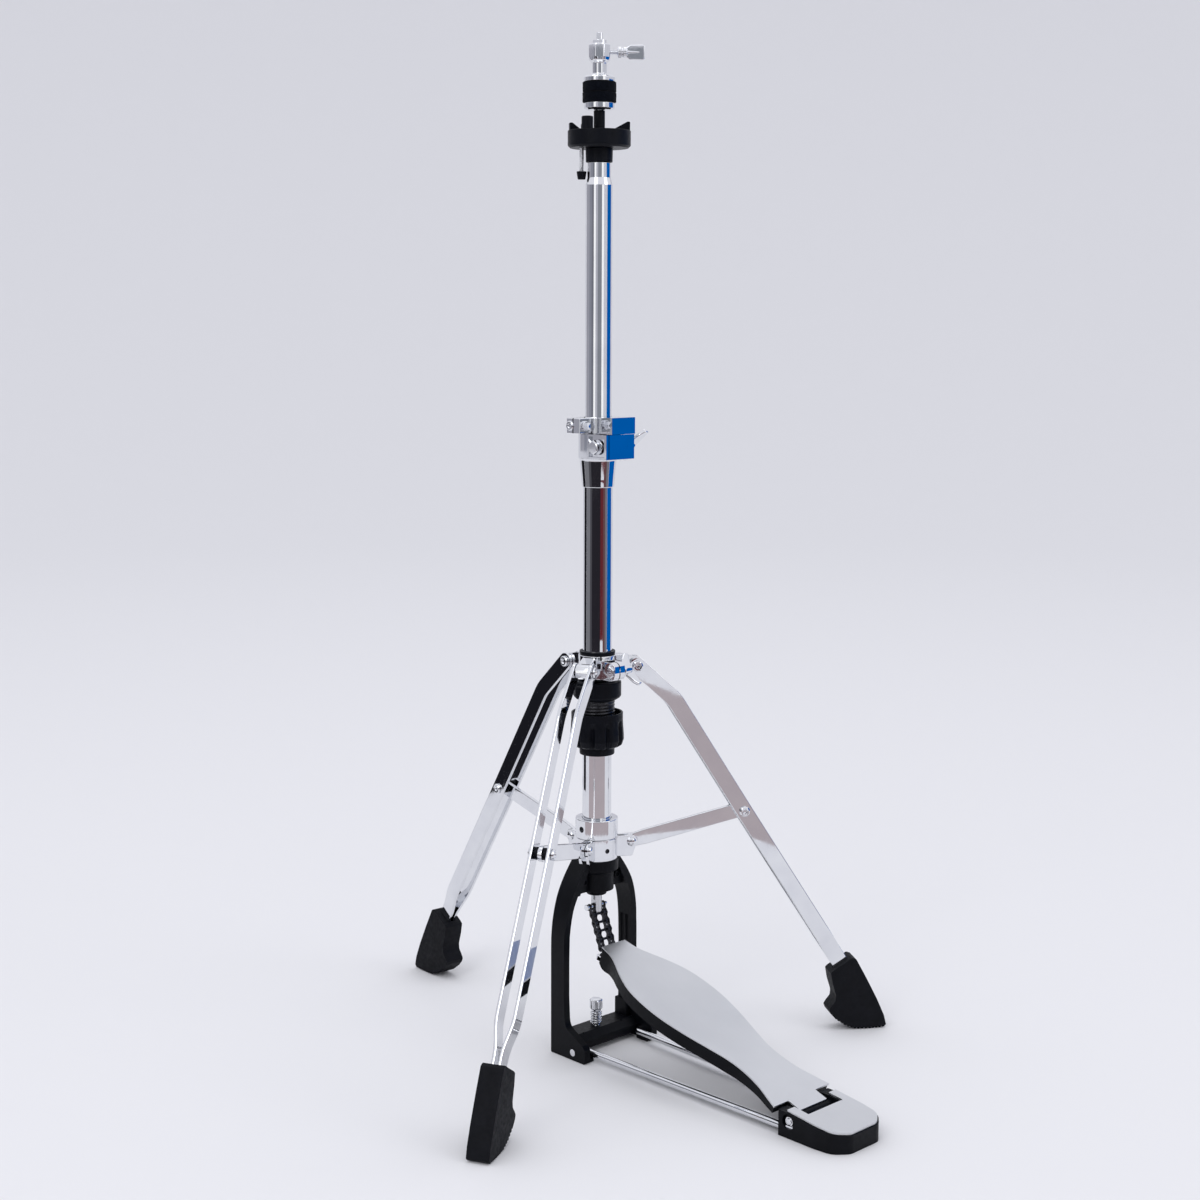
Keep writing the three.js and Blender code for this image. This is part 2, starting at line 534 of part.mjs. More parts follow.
function brace(name, degrees) {
  const { at } = around(degrees);
  const out = unit(BRACE_PIVOT, LEG_RIVET);
  const back = out.map((v) => -v);
  const stations = [...roundEnd(BRACE_PIVOT, back, BRACE_DEPTH * 0.86, 0, false),
    [...BRACE_PIVOT, 0, 0.86], [BRACE_PIVOT[0] + out[0] * 12, BRACE_PIVOT[1] + out[1] * 12, 0],
    [...LEG_RIVET, 0], ...roundEnd(LEG_RIVET, out, BRACE_DEPTH, 0, true)];
  const hole = ([r, z], radius) => bar(at(r, -9, z), at(r, 9, z), radius, 20);
  const holes = [hole(BRACE_PIVOT, PIVOT_PIN_R + GAP), hole(LEG_RIVET, OPEN_PIVOT_R)];
  add(`${name}_brace`, cut(bentBar(stations, BRACE_DEPTH, BRACE_BAR, at), ...holes), chrome);
}

// ---- pedal frame: two rods, heel casting and plate, hinge pin --------------------------------
function pedalRods() {
  const { radius, z, rear, front } = FRAME_ROD;
  for (const [name, s] of [['left', -1], ['right', 1]]) {
    const corner = [s * rear, -20, z];
    const ball = new THREE.SphereGeometry(radius, 16, 10).rotateX(Math.PI / 2);
    const elbow = solid(ball.translate(...corner));
    add(`${name}_pedal_rod`, join(bar(corner, [s * front, -300, z], radius), elbow,
      bar(corner, [s * 51, -20, z], radius)), chrome);
  }
}

const heelPlan = (inset) => {
  const front = 271 + inset;
  const half = 34.5 - inset;
  const rear = 343 - inset;
  const corner = arc(half - 15, rear - 14, 13, 0, Math.PI / 2, 5);
  const right = [[HEEL_RECESS + inset, front], [half, front], [half - 1, 312], ...corner];
  const left = right.map(([x, y]) => [-x, y]).reverse();
  return [[HEEL_RECESS + inset, 296 + inset], ...right, ...left, [-HEEL_RECESS - inset, 296 + inset]];
};

// bar along the pedal's hinge line
const hinge = (from, to, radius) => {
  const { out, z } = PEDAL_HINGE;
  return bar([from, -out, z], [to, -out, z], radius);
};

function heel() {
  const top = (drop) => [[260, 26.2 - drop], [281, 26 - drop], [343, 18.5 - drop], [360, 16.4 - drop]];
  const side = [[260, 0], [360, 0], ...top(2.2).reverse()];
  const body = plate(heelPlan(0), [-40, 40], PLAN).intersect(plate(side, [-60, 60], SIDE));
  const { radius, z, rear, front } = FRAME_ROD;
  const perMillimetre = (rear - front) / (300 - 20);
  const rodHoles = [-1, 1].map((s) =>
    bar([s * (front + 30 * perMillimetre), -270, z], [s * front, -300.4, z], radius + GAP - 0.05));
  const recesses = [-1, 1].map((s) => hinge(s * 31.5, s * 60, 6.8));
  const holes = [hinge(-60, 60, PIN_R + GAP), ...recesses, ...rodHoles];
  add('heel_casting', cut(body, ...holes), blackCast);
  const slab = plate([...top(1.9), ...top(0).reverse()], [-60, 60], SIDE);
  const outline = heelPlan(1.2).map(([x, y]) => [x, Math.max(y, 281)]);
  add('heel_plate', plate(outline, [-40, 40], PLAN).intersect(slab), satin);
  const clips = [hinge(-33.2, -32, 4.2), hinge(32, 33.2, 4.2)];
  add('hinge_pin', join(hinge(-34, 34, PIN_R), ...clips), chrome);
}

// ---- footboard -------------------------------------------------------------------------------
// board outline: half width at distances down the board from the toe edge
const BOARD_SHAPE = [
  [0, 15.5], [16, 18], [28, 23.5], [46, 33], [66, 40.5], [90, 43.6], [115, 43], [142, 38.5], [168, 32],
  [190, 27], [210, 26.2], [230, 29], [246, 34], [BOARD_LENGTH, 38],
];

function boardOutline(inset, tongueEnd) {
  const right = BOARD_SHAPE.map(([s, half]) => [
    Math.min(Math.max(s, inset), BOARD_LENGTH - inset), half - inset]);
  const tongue = 18.5 - inset;
  const side = tongueEnd > BOARD_LENGTH
    ? [...right, [BOARD_LENGTH - inset, tongue], [tongueEnd - inset, tongue]] : right;
  return [...side, ...side.map(([s, half]) => [s, -half]).reverse()];
}

function footboard() {
  const cos = Math.cos(PEDAL_SLOPE);
  const sin = Math.sin(PEDAL_SLOPE);
  const board = frameOf([0, -cos, -sin], [1, 0, 0], [0, -TOE.out, TOE.z]);
  add('footboard_plate', plate(boardOutline(0, 273), [-1.6, 0], board), satin);
  const skin = plate(boardOutline(0.8, 273), [-TOE_DEPTH, -1.6 - GAP], board);
  const hollow = plate(boardOutline(4, 250), [-TOE_DEPTH - 5, -5], board);
  const clipSlot = plate([[-1, -10.6], [24, -10.6], [24, 10.6], [-1, 10.6]], [-30, -BOARD_DEPTH], board);
  const half = HEEL_RECESS - GAP;
  const barrel = hinge(-half, half, 5);
  const behindHeel = [-PEDAL_HINGE.out - 40, -PEDAL_HINGE.out + 12.6];
  const besideTongue = [-1, 1].map((s) =>
    box(s > 0 ? [half, 60] : [-60, -half], behindHeel, [-20, 60]));
  const beside = frameOf([0, -cos, -sin], [0, -sin, cos], [0, -TOE.out, TOE.z]);
  const skirtEdge = [[-5, -16], [2, -20], [7, -TOE_DEPTH], [13, -21.6], [22, -18.6], [34, -15.8],
    [46, -BOARD_DEPTH], [300, -BOARD_DEPTH], [300, -60], [-5, -60]];
  const under = [[200, 34.3], [266.6, 19.2], [276, 14], [276, -50], [200, -50]];
  const away = [...besideTongue, hinge(-60, 60, PIN_R + GAP), plate(under, [-60, 60], SIDE), clipSlot,
    plate(skirtEdge, [-60, 60], beside)];
  add('footboard_casting', cut(join(cut(skin, hollow), barrel), ...away), blackCast);
  toeClip(board);
}

// spring clip under the toe; the chain's lower end hangs just above its lip
function toeClip(board) {
  const layer = (s, x, h) => plate([[s[0], x[0]], [s[1], x[0]], [s[1], x[1]], [s[0], x[1]]], h, board);
  const tongue = layer([-9, 16], [-10, 10], [-17.2, -15.3]);
  const lip = join(layer([-9, -7], [-6, 6], [-22, -16]), layer([-9, -7.2], [-10, 10], [-17.2, -14]));
  add('toe_clip', join(tongue, lip), chrome);
}

function chain() {
  const swing = new THREE.Matrix4().makeRotationX(-CHAIN_TILT);
  swing.setPosition(0, -CHAIN_TOP.out, CHAIN_TOP.z);
  const pitches = 6;
  for (const [name, s] of [['left', -1], ['right', 1]]) {
    const right = Array.from({ length: pitches + 1 }, (_, i) =>
      arc(0, -i * CHAIN_LENGTH / pitches, 3.3, 0.8, -0.8, 3)).flat();
    const outline = [...right, ...right.map(([a, b]) => [-a, b]).reverse()];
    const frame = frameOf([0, 1, 0], [0, 0, 1], [s * 7, 0, 0]).premultiply(swing);
    const pinHole = bar([-20, 0, CHAIN_TOP.z], [20, 0, CHAIN_TOP.z], 2.2, 20);
    add(`chain_strand_${name}`, cut(plate(outline, [-2.6, 2.6], frame), pinHole), blackSteel);
  }
}

baseCasting();
spur();
baseTube();
hubWithBrackets();
tensionUnit();
tripodCollar();
heightClamp();
memoryLock();
upperTube();
seat();
pullRod();
clutch();
for (const [name, degrees] of Object.entries(LEG_ANGLES)) {
  leg(name, degrees);
  brace(name, degrees);
}
pedalRods();
heel();
footboard();
chain();

export default group;
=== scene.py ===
"""Hi-hat stand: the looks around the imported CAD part. Sizes in the helpers are millimetres."""
import math

import bmesh
import bpy
from mathutils import Matrix, Vector, noise


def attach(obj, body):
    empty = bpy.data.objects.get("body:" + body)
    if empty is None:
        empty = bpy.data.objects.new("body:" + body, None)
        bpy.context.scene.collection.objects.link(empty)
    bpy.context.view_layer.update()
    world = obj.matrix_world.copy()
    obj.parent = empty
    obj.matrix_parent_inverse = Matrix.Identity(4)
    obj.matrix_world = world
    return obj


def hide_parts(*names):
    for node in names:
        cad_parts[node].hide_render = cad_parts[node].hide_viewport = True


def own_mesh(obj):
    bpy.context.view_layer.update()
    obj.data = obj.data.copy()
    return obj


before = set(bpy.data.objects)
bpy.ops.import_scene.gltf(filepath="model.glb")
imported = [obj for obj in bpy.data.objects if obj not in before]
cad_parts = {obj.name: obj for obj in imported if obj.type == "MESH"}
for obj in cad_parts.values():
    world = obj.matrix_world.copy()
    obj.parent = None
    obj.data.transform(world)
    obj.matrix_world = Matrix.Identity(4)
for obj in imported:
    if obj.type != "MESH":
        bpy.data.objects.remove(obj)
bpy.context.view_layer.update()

MM = 0.001
TAU = math.tau
PI = math.pi

# heights along the column, as in the CAD part
ROD_R = 3
UPPER_TUBE_R = 12.7
LOWER_TUBE_R = 14.3
CASTING_TOP = 191.2
HUB_TOP = 213
STOP_RING_TOP = 232.5
CAP = 0.3
LEG_ANGLES = {"left": -153.4, "right": -33.4, "rear": 86.6}
LEG_PIVOT = (38, 384)
LEG_BEND = (75, 350)
LEG_RIVET = (147.5, 234)
LEG_END = (262, 54)
BRACE_PIVOT = (34, 207)
CLUTCH_SCREW_DEGREES = -43.65
TILTER_DEGREES = 136.35
TOE_OUT, TOE_Z = 24.6, 109
PEDAL_SLOPE = math.radians(18.57)
HINGE_OUT, HINGE_Z = 283, 15.5


# frames
def frame_of(first, second, origin=(0, 0, 0)):
    a, b = Vector(first), Vector(second)
    place = Matrix((a, b, a.cross(b))).transposed().to_4x4()
    place.translation = Vector(origin)
    return place


PLAN = frame_of((1, 0, 0), (0, -1, 0))
SIDE = frame_of((0, -1, 0), (0, 0, 1))
FRONT = frame_of((1, 0, 0), (0, 0, 1))


def axis_at(point, direction):
    place = Vector((0, 0, 1)).rotation_difference(Vector(direction)).to_matrix().to_4x4()
    place.translation = Vector(point)
    return place


def around(degrees):
    """out, left and a plane frame (r, z) turned about the column"""
    angle = math.radians(degrees)
    out = Vector((math.cos(angle), math.sin(angle), 0))
    left = Vector((-math.sin(angle), math.cos(angle), 0))
    return out, left, frame_of(out, (0, 0, 1))


def beside(degrees, r, sideways, z):
    out, left, _ = around(degrees)
    return out * r + left * sideways + Vector((0, 0, z))


# outlines
def fillet(points, radius, loop=True, steps=4):
    """rounds the corners of a polyline; a third number at a point is that corner's own radius"""
    result = []
    count = len(points)
    for i, point in enumerate(points):
        here = Vector(point[:2])
        r = point[2] if len(point) > 2 else radius
        if r <= 0 or (not loop and i in (0, count - 1)):
            result.append(tuple(here))
            continue
        back = Vector(points[i - 1][:2]) - here
        ahead = Vector(points[(i + 1) % count][:2]) - here
        if back.length < 1e-6 or ahead.length < 1e-6:
            continue
        half = max(back.angle(ahead) / 2, 0.05)
        reach = min(r / math.tan(half), back.length * 0.46, ahead.length * 0.46)
        start = here + back.normalized() * reach
        end = here + ahead.normalized() * reach
        for k in range(steps + 1):
            t = k / steps
            result.append(tuple(start * (1 - t) ** 2 + here * 2 * t * (1 - t) + end * t * t))
    return result


def spline(points, per=5):
    """smooth curve through points"""
    result = []
    last = len(points) - 1
    for i in range(last):
        p = [Vector(points[max(0, min(last, j))]) for j in (i - 1, i, i + 1, i + 2)]
        for k in range(per):
            t = k / per
            result.append(tuple(0.5 * (2 * p[1] + (p[2] - p[0]) * t
                                       + (2 * p[0] - 5 * p[1] + 4 * p[2] - p[3]) * t * t
                                       + (3 * p[1] - p[0] - 3 * p[2] + p[3]) * t ** 3)))
    result.append(tuple(points[-1]))
    return result


def mirrored(right):
    return right + [(-a, b) for a, b in reversed(right)]


def arc(cx, cy, r, start, end, steps):
    turns = [start + (end - start) * i / steps for i in range(steps + 1)]
    return [(cx + r * math.cos(a), cy + r * math.sin(a)) for a in turns]


# meshes
def skin(rows, width, loop=False):
    """quads between rows of points"""
    pairs = [(i * width, (i + 1) % rows * width) for i in range(rows if loop else rows - 1)]
    return [(a + k, a + (k + 1) % width, b + (k + 1) % width, b + k) for a, b in pairs for k in range(width)]


def end_caps(rows, width):
    return [tuple(range(width)), tuple(range((rows - 1) * width, rows * width))]


def new_object(mesh):
    piece = bpy.data.objects.new("piece", mesh)
    bpy.context.scene.collection.objects.link(piece)
    return piece


def mesh_piece(vertices, faces):
    mesh = bpy.data.meshes.new("piece")
    mesh.from_pydata([Vector(v) * MM for v in vertices], [], faces)
    work = bmesh.new()
    work.from_mesh(mesh)
    bmesh.ops.remove_doubles(work, verts=work.verts, dist=1e-7)
    bmesh.ops.recalc_face_normals(work, faces=work.faces)
    work.to_mesh(mesh)
    work.free()
    return new_object(mesh)


def settle(piece):
    """applies the modifiers"""
    graph = bpy.context.evaluated_depsgraph_get()
    mesh = bpy.data.meshes.new_from_object(piece.evaluated_get(graph))
    old = piece.data
    piece.modifiers.clear()
    piece.data = mesh
    bpy.data.meshes.remove(old)
    return piece


def carve(piece, *tools, operation="DIFFERENCE"):
    for tool in tools:
        step = piece.modifiers.new("cut", "BOOLEAN")
        step.operation = operation
        step.solver = "EXACT"
        step.object = tool
        settle(piece)
        bpy.data.objects.remove(tool)
    return piece


def union(piece, *tools):
    return carve(piece, *tools, operation="UNION")


def soften(piece, width, segments=3, angle=32):
    step = piece.modifiers.new("edges", "BEVEL")
    step.width = width * MM
    step.segments = segments
    step.limit_method = "ANGLE"
    step.angle_limit = math.radians(angle)
    step.use_clamp_overlap = True
    return settle(piece)


def merge(*pieces):
    """one mesh of several separate bodies"""
    work = bmesh.new()
    for piece in pieces:
        piece.data.transform(piece.matrix_world)
        work.from_mesh(piece.data)
        bpy.data.objects.remove(piece)
    mesh = bpy.data.meshes.new("piece")
    work.to_mesh(mesh)
    work.free()
    return new_object(mesh)


def lathe(profile, place=Matrix(), steps=64, loop=False, shape=None):
    """turns (radius, height) points; shape(angle, r, z) may move each ring point"""
    vertices = []
    for r, z in profile:
        for k in range(steps):
            angle = TAU * k / steps
            rr, zz = shape(angle, r, z) if shape else (r, z)
            vertices.append(place @ Vector((rr * math.cos(angle), rr * math.sin(angle), zz)))
    return mesh_piece(vertices, skin(len(profile), steps, loop))


def solid_of(points, edge=0.5, place=Matrix(), steps=64, shape=None):
    """turned solid, its profile from axis to axis with rounded corners"""
    return lathe(fillet(points, edge, loop=False, steps=3), place, steps, False, shape)


def ring_of(inner, outer, low, high, edge=0.5, place=Matrix(), steps=64, shape=None):
    points = [(inner, low), (outer, low), (outer, high), (inner, high)]
    return lathe(fillet(points, edge, steps=3), place, steps, True, shape)


def rod(a, b, radius, end_radius=None, edge=0.4, steps=40, shape=None):
    a, b = Vector(a), Vector(b)
    length = (b - a).length
    end = radius if end_radius is None else end_radius
    points = [(0, 0), (radius, 0), (end, length), (0, length)]
    return solid_of(points, edge, axis_at(a, b - a), steps, shape)


def shaft(a, b, radius, steps=40):
    """rod with sharp ends, mostly to cut a hole"""
    return rod(a, b, radius, edge=0, steps=steps)


def upright(low, high, radius, steps=40):
    return shaft((0, 0, low), (0, 0, high), radius, steps)


def hinge_shaft(start, end, radius):
    """along the pedal hinge"""
    return shaft((start, -HINGE_OUT, HINGE_Z), (end, -HINGE_OUT, HINGE_Z), radius)


def across(degrees, r, z, start, end, radius, edge=0.4):
    """rod square to a leg's plane"""
    return rod(beside(degrees, r, start, z), beside(degrees, r, end, z), radius, edge=edge)


def slab(outline, depth, place, edge=0, segments=3):
    """flat outline pushed through a depth"""
    vertices = [place @ Vector((a, b, d)) for d in depth for a, b in outline]
    n = len(outline)
    faces = [tuple(range(n)), tuple(reversed(range(n, 2 * n)))]
    faces += [(i, (i + 1) % n, n + (i + 1) % n, n + i) for i in range(n)]
    piece = mesh_piece(vertices, faces)
    return soften(piece, edge, segments) if edge else piece


def block(x, y, z, edge=0, segments=3):
    outline = [(x[0], y[0]), (x[1], y[0]), (x[1], y[1]), (x[0], y[1])]
    return slab(outline, z, Matrix(), edge, segments)


def sweep(path, section):
    """section points (sideways, up) along a path of 3-D points"""
    path = [Vector(p) for p in path]
    count, width = len(path), len(section)
    vertices = []
    across = None
    for i, point in enumerate(path):
        along = (path[min(i + 1, count - 1)] - path[max(i - 1, 0)]).normalized()
        if across is None:
            seed = Vector((0, 0, 1)) if abs(along.z) < 0.9 else Vector((1, 0, 0))
            across = along.cross(seed).normalized()
        else:
            across = (across - along * across.dot(along)).normalized()
        up = across.cross(along).normalized()
        vertices += [point + across * s + up * u for s, u in section]
    return mesh_piece(vertices, skin(count, width) + end_caps(count, width))


def wire(path, radius, sides=12):
    return sweep(path, arc(0, 0, radius, 0, TAU * (1 - 1 / sides), sides - 1))


def coil(radius, wire_r, turns, low, high, sides=10):
    """compression spring with closed, ground-looking ends"""
    path = []
    steps = int(turns * 28)
    rise = high - low - 2 * wire_r
    for i in range(steps + 1):
        t = i / steps
        angle = t * turns * TAU
        eased = t + 0.55 / turns * math.sin(TAU * t) * -0.5
        path.append((radius * math.cos(angle), radius * math.sin(angle), low + wire_r + rise * eased))
    return wire(path, wire_r, sides)


def thread(radius, depth, pitch, low, high, place=Matrix(), steps=40, per=6):
    """screw thread, closed at both ends"""
    rows = max(2, int((high - low) / pitch * per))
    profile = [(0, low)] + [(radius, low + (high - low) * i / rows) for i in range(rows + 1)] + [(0, high)]

    def ridge(angle, r, z):
        if r == 0:
            return 0, z
        wave = abs(((z / pitch - angle / TAU) % 1) * 2 - 1)
        return r - depth * min(1, max(0, wave * 1.5 - 0.2)), z

    return lathe(profile, place, steps, False, ridge)


def knurl(count, depth):
    return lambda angle, r, z: (r - depth * (0.5 - 0.5 * math.cos(count * angle)) * min(1, r / 3), z)


def shade(piece, angle=38):
    """smooth edges whose neighbouring flat faces stay flat"""
    mesh = piece.data
    mesh.shade_smooth()
    mesh.set_sharp_from_angle(angle=math.radians(angle))
    step = piece.modifiers.new("flat_faces", "WEIGHTED_NORMAL")
    step.keep_sharp = True
    settle(piece)


# materials
def new_material(name):
    material = bpy.data.materials.new(name)
    material.use_nodes = True
    tree = material.node_tree
    return material, tree, tree.nodes["Principled BSDF"]


def coordinates(tree, stretch):
    where = tree.nodes.new("ShaderNodeTexCoord")
    mapping = tree.nodes.new("ShaderNodeMapping")
    mapping.inputs["Scale"].default_value = stretch
    tree.links.new(where.outputs["Object"], mapping.inputs["Vector"])
    return mapping.outputs["Vector"]


def noise_map(tree, scale, detail=4, stretch=(1, 1, 1)):
    texture = tree.nodes.new("ShaderNodeTexNoise")
    texture.inputs["Scale"].default_value = scale
    texture.inputs["Detail"].default_value = detail
    tree.links.new(coordinates(tree, stretch), texture.inputs["Vector"])
    return texture.outputs["Fac"]


def remap(tree, value, low, high, target, start=0.3, end=0.7):
    scale = tree.nodes.new("ShaderNodeMapRange")
    for key, number in (("From Min", start), ("From Max", end), ("To Min", low), ("To Max", high)):
        scale.inputs[key].default_value = number
    tree.links.new(value, scale.inputs["Value"])
    tree.links.new(scale.outputs["Result"], target)


def tint(tree, value, first, second, target, start=0.3, end=0.7):
    ramp = tree.nodes.new("ShaderNodeValToRGB")
    ramp.color_ramp.elements[0].position = start
    ramp.color_ramp.elements[1].position = end
    ramp.color_ramp.elements[0].color = (*first, 1)
    ramp.color_ramp.elements[1].color = (*second, 1)
    tree.links.new(value, ramp.inputs["Fac"])
    tree.links.new(ramp.outputs["Color"], target)


def bump(tree, bsdf, value, strength, distance):
    node = tree.nodes.new("ShaderNodeBump")
    node.inputs["Strength"].default_value = strength
    node.inputs["Distance"].default_value = distance
    tree.links.new(value, node.inputs["Height"])
    tree.links.new(node.outputs["Normal"], bsdf.inputs["Normal"])


def coat(tree, bsdf, color, rough, relief, specular=None):
    """color: noise scale, detail, two colours; rough: scale, detail, low, high;
    relief: scale, detail, strength, depth"""
    tint(tree, noise_map(tree, *color[:2]), *color[2:], bsdf.inputs["Base Color"])
    remap(tree, noise_map(tree, *rough[:2]), *rough[2:], bsdf.inputs["Roughness"])
    if specular is not None:
        bsdf.inputs["Specular IOR Level"].default_value = specular
    if relief:
        bump(tree, bsdf, noise_map(tree, *relief[:2]), *relief[2:])


def chrome_material():
    """polished chrome with faint handling smudges and hairline wear"""
    material, tree, bsdf = new_material("chrome")
    bsdf.inputs["Metallic"].default_value = 1
    smudges = noise_map(tree, 45, 5)
    tint(tree, smudges, (0.74, 0.75, 0.78), (0.80, 0.81, 0.83), bsdf.inputs["Base Color"])
    remap(tree, noise_map(tree, 120, 6, (1, 1, 0.25)), 0.02, 0.06, bsdf.inputs["Roughness"])
    bump(tree, bsdf, noise_map(tree, 260, 3, (1, 1, 0.1)), 0.05, 0.0002)
    return material


def satin_material():
    """brushed plate, the grain running down the pedal"""
    material, tree, bsdf = new_material("satin_plate")
    bsdf.inputs["Metallic"].default_value = 1
    tint(tree, noise_map(tree, 14, 4), (0.63, 0.64, 0.66), (0.69, 0.70, 0.72), bsdf.inputs["Base Color"])
    remap(tree, noise_map(tree, 900, 4, (1, 0.02, 0.05)), 0.30, 0.38, bsdf.inputs["Roughness"])
    bump(tree, bsdf, noise_map(tree, 2600, 3, (1, 0.015, 0.04)), 0.06, 0.0001)
    return material


def cast_material():
    """black powder coat over a die casting"""
    material, tree, bsdf = new_material("powder_coat")
    coat(tree, bsdf, (60, 4, (0.0014, 0.0018, 0.0032), (0.0030, 0.0036, 0.0058)), (300, 5, 0.36, 0.52),
            (1500, 2, 0.28, 0.0002), 0.12)
    return material


def nylon_material():
    material, tree, bsdf = new_material("black_nylon")
    coat(tree, bsdf, (90, 3, (0.0026, 0.0032, 0.0054), (0.0046, 0.0054, 0.0086)), (400, 4, 0.30, 0.46),
            (2400, 3, 0.12, 0.0001), 0.1)
    return material


def rubber_material():
    material, tree, bsdf = new_material("foot_rubber")
    coat(tree, bsdf, (70, 4, (0.0022, 0.0026, 0.0044), (0.0046, 0.0052, 0.0082)), (260, 5, 0.5, 0.7),
            (1900, 4, 0.25, 0.0002), 0.14)
    return material


def felt_material():
    material, tree, bsdf = new_material("wool_felt")
    tint(tree, noise_map(tree, 700, 5), (0.0012, 0.0018, 0.0034), (0.0050, 0.0062, 0.0100),
            bsdf.inputs["Base Color"])
    bsdf.inputs["Roughness"].default_value = 0.97
    bsdf.inputs["Sheen Weight"].default_value = 0.04
    bsdf.inputs["Specular IOR Level"].default_value = 0.03
    bump(tree, bsdf, noise_map(tree, 1300, 6), 0.8, 0.0006)
    return material


def black_steel_material():
    material, tree, bsdf = new_material("oxide_steel")
    bsdf.inputs["Metallic"].default_value = 0.85
    coat(tree, bsdf, (200, 5, (0.018, 0.018, 0.021), (0.05, 0.05, 0.055)), (500, 4, 0.2, 0.42), None)
    return material


LOOKS = {"chrome": chrome_material(), "satin": satin_material(), "black_cast": cast_material(),
        "black_plastic": nylon_material(), "rubber": rubber_material(), "felt": felt_material(),
        "black_steel": black_steel_material(), }


def dress(name, piece, body, slot, *nodes, angle=38):
    piece.name = name
    piece.data.materials.clear()
    piece.data.materials.append(LOOKS[slot])
    shade(piece, angle)
    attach(piece, body)
    for node in nodes:
        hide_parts(node)


# base casting
def arch_body():
    curve = spline([(50, 104), (49.6, 120), (47.4, 138), (42, 158), (33.5, 175), (22, CASTING_TOP)])
    outer = mirrored([(50, 0)] + curve)
    inner_curve = spline([(42.5, 96), (41.6, 126), (39, 146), (34, 160)])
    opening = mirrored([(42.5, -9)] + inner_curve)
    side = fillet([(-12, 0, 1), (36.5, 0, 2), (36.5, 14, 1.5), (33, 18, 3), (8, 31, 12), (6.5, 60, 0),
            (6.5, 120, 20), (10, 165, 20), (10, CASTING_TOP, 1), (-12, CASTING_TOP, 1)], 1)
    arch = slab(outer, (-20, 40), FRONT)
    carve(arch, slab(side, (-60, 60), SIDE), operation="INTERSECT")
    pocket = mirrored([(33.5, 150), (30, 164), (23, 177), (15, CASTING_TOP + 1)])
    carve(arch, slab(opening, (-60, 60), FRONT), slab(fillet(pocket, 3), (4.5, 40), FRONT))
    return arch


def upright_flutes():
    """two shallow flutes down the inner face of each upright"""
    return [rod((s * 41.2, y, 44), (s * 41.2, y, 124), 2.4, edge=1) for s in (-1, 1) for y in (-0.5, 6.5)]


def base_casting():
    body = arch_body()
    union(body,
            solid_of([(0, 160), (17, 160), (17, 178, 1), (21.5, 181), (21.5, CASTING_TOP),
                    (0, CASTING_TOP)]),
            block((37, 43.5), (-5, 11.6), (18, 36), 1),
            slab([(-11.6, 5), (16, 5), (16, 13), (9, 19), (-11.6, 19)], (-44, 44), SIDE))
    for s in (-1, 1):
        union(body, block(sorted((s * 36.5, s * 44)), (-36, -20), (0.2, 4.2), 1.2))
    rear, front = 37.5, 29.5
    tools = upright_flutes()
    tools += [upright(2, 26, 4.4),
            upright(166, 195, 14.6),
            upright(150, 180, 6.4),
            shaft((-60, -20, 8), (60, -20, 8), 3.8)]
    for s in (-1, 1):
        tools.append(shaft((s * rear, -18, 8), (s * (rear - 0.6), -41, 8), 3.8))
        tools.append(shaft((s * 26, -9, 22), (s * 26, -9, 14), 0.9))
    carve(body, *tools)
    soften(body, 1.1, 3, 28)
    dress("arch", body, "stand_base", "black_cast", "base_casting")


def casting_details():
    """nylon bush, front cap bolts and the rivet heads of the frame rod"""
    bush = lathe(fillet([(5.65, 154.6), (10, 154.6, 1.2), (10, 160), (6.1, 160), (6.1, 165.7),
            (5.65, 165.7)], 0.15), loop=True)
    dress("casting_bush_turned", bush, "stand_base", "black_plastic", "casting_bush")
    for s, side in ((-1, "left"), (1, "right")):
        bolt = solid_of([(0, 0), (3.6, 0), (3.6, 2.4), (2.2, 2.9), (2.0, 1.0), (0, 1.0)], 0.3,
                axis_at((s * 22, -4.3, 171), (0, -1, 0)), 24)
        dress(f"socket_bolt_{side}", bolt, "stand_base", "black_cast")
        plug = solid_of([(0, 0), (3.5, 0), (3.1, 0.9), (0, 1.1)], 0.25, axis_at((s * 49.8, -20, 8),
                (s, 0, 0)), 32)
        dress(f"frame_rivet_{side}", plug, "stand_base", "chrome")


def spur():
    screw = merge(thread(3.9, 0.55, 1.5, 2.4, 34.8),
            solid_of([(0, 0), (2, 0), (3.6, 2.6), (0, 2.6)], 0.3, steps=32),
            solid_of([(0, 33.3), (4.8, 33.3), (4.8, 35.6), (0, 35.6)], 0.4, steps=40),
            solid_of([(0, 34.6), (4.8, 34.6), (6.4, 36.4), (6.4, 44), (5.4, 45.2), (0, 45.4)], 0.5,
                steps=144, shape=knurl(30, 0.35)))
    dress("spur_bolt_turned", screw, "spur_bolt", "chrome", "spur_bolt")
    spring = coil(5.2, 0.65, 5.2, 20.2, 33.2)
    dress("spur_spring_wire", spring, "stand_base", "chrome", "spur_spring")


# column
def tubes():
    inner = LOWER_TUBE_R - 1.5
    dress("base_tube_drawn", ring_of(inner, LOWER_TUBE_R, 166.3, 330, 0.4, steps=96), "stand_base",
            "chrome", "base_tube")
    dress("main_tube_drawn", ring_of(inner, LOWER_TUBE_R, 330.3, 575, 0.5, steps=96), "stand_base",
            "chrome", "main_tube")
    outer = [(9.7, 862.8), (11.2, 862.8), (11.2, 849, 3), (UPPER_TUBE_R, 842.5, 5), (UPPER_TUBE_R, 500),
            (11.2, 500), (11.2, 840, 5), (9.7, 846, 3)]
    dress("upper_tube_drawn", lathe(fillet(outer, 0.4), steps=96, loop=True), "upper_tube", "chrome",
            "upper_tube")


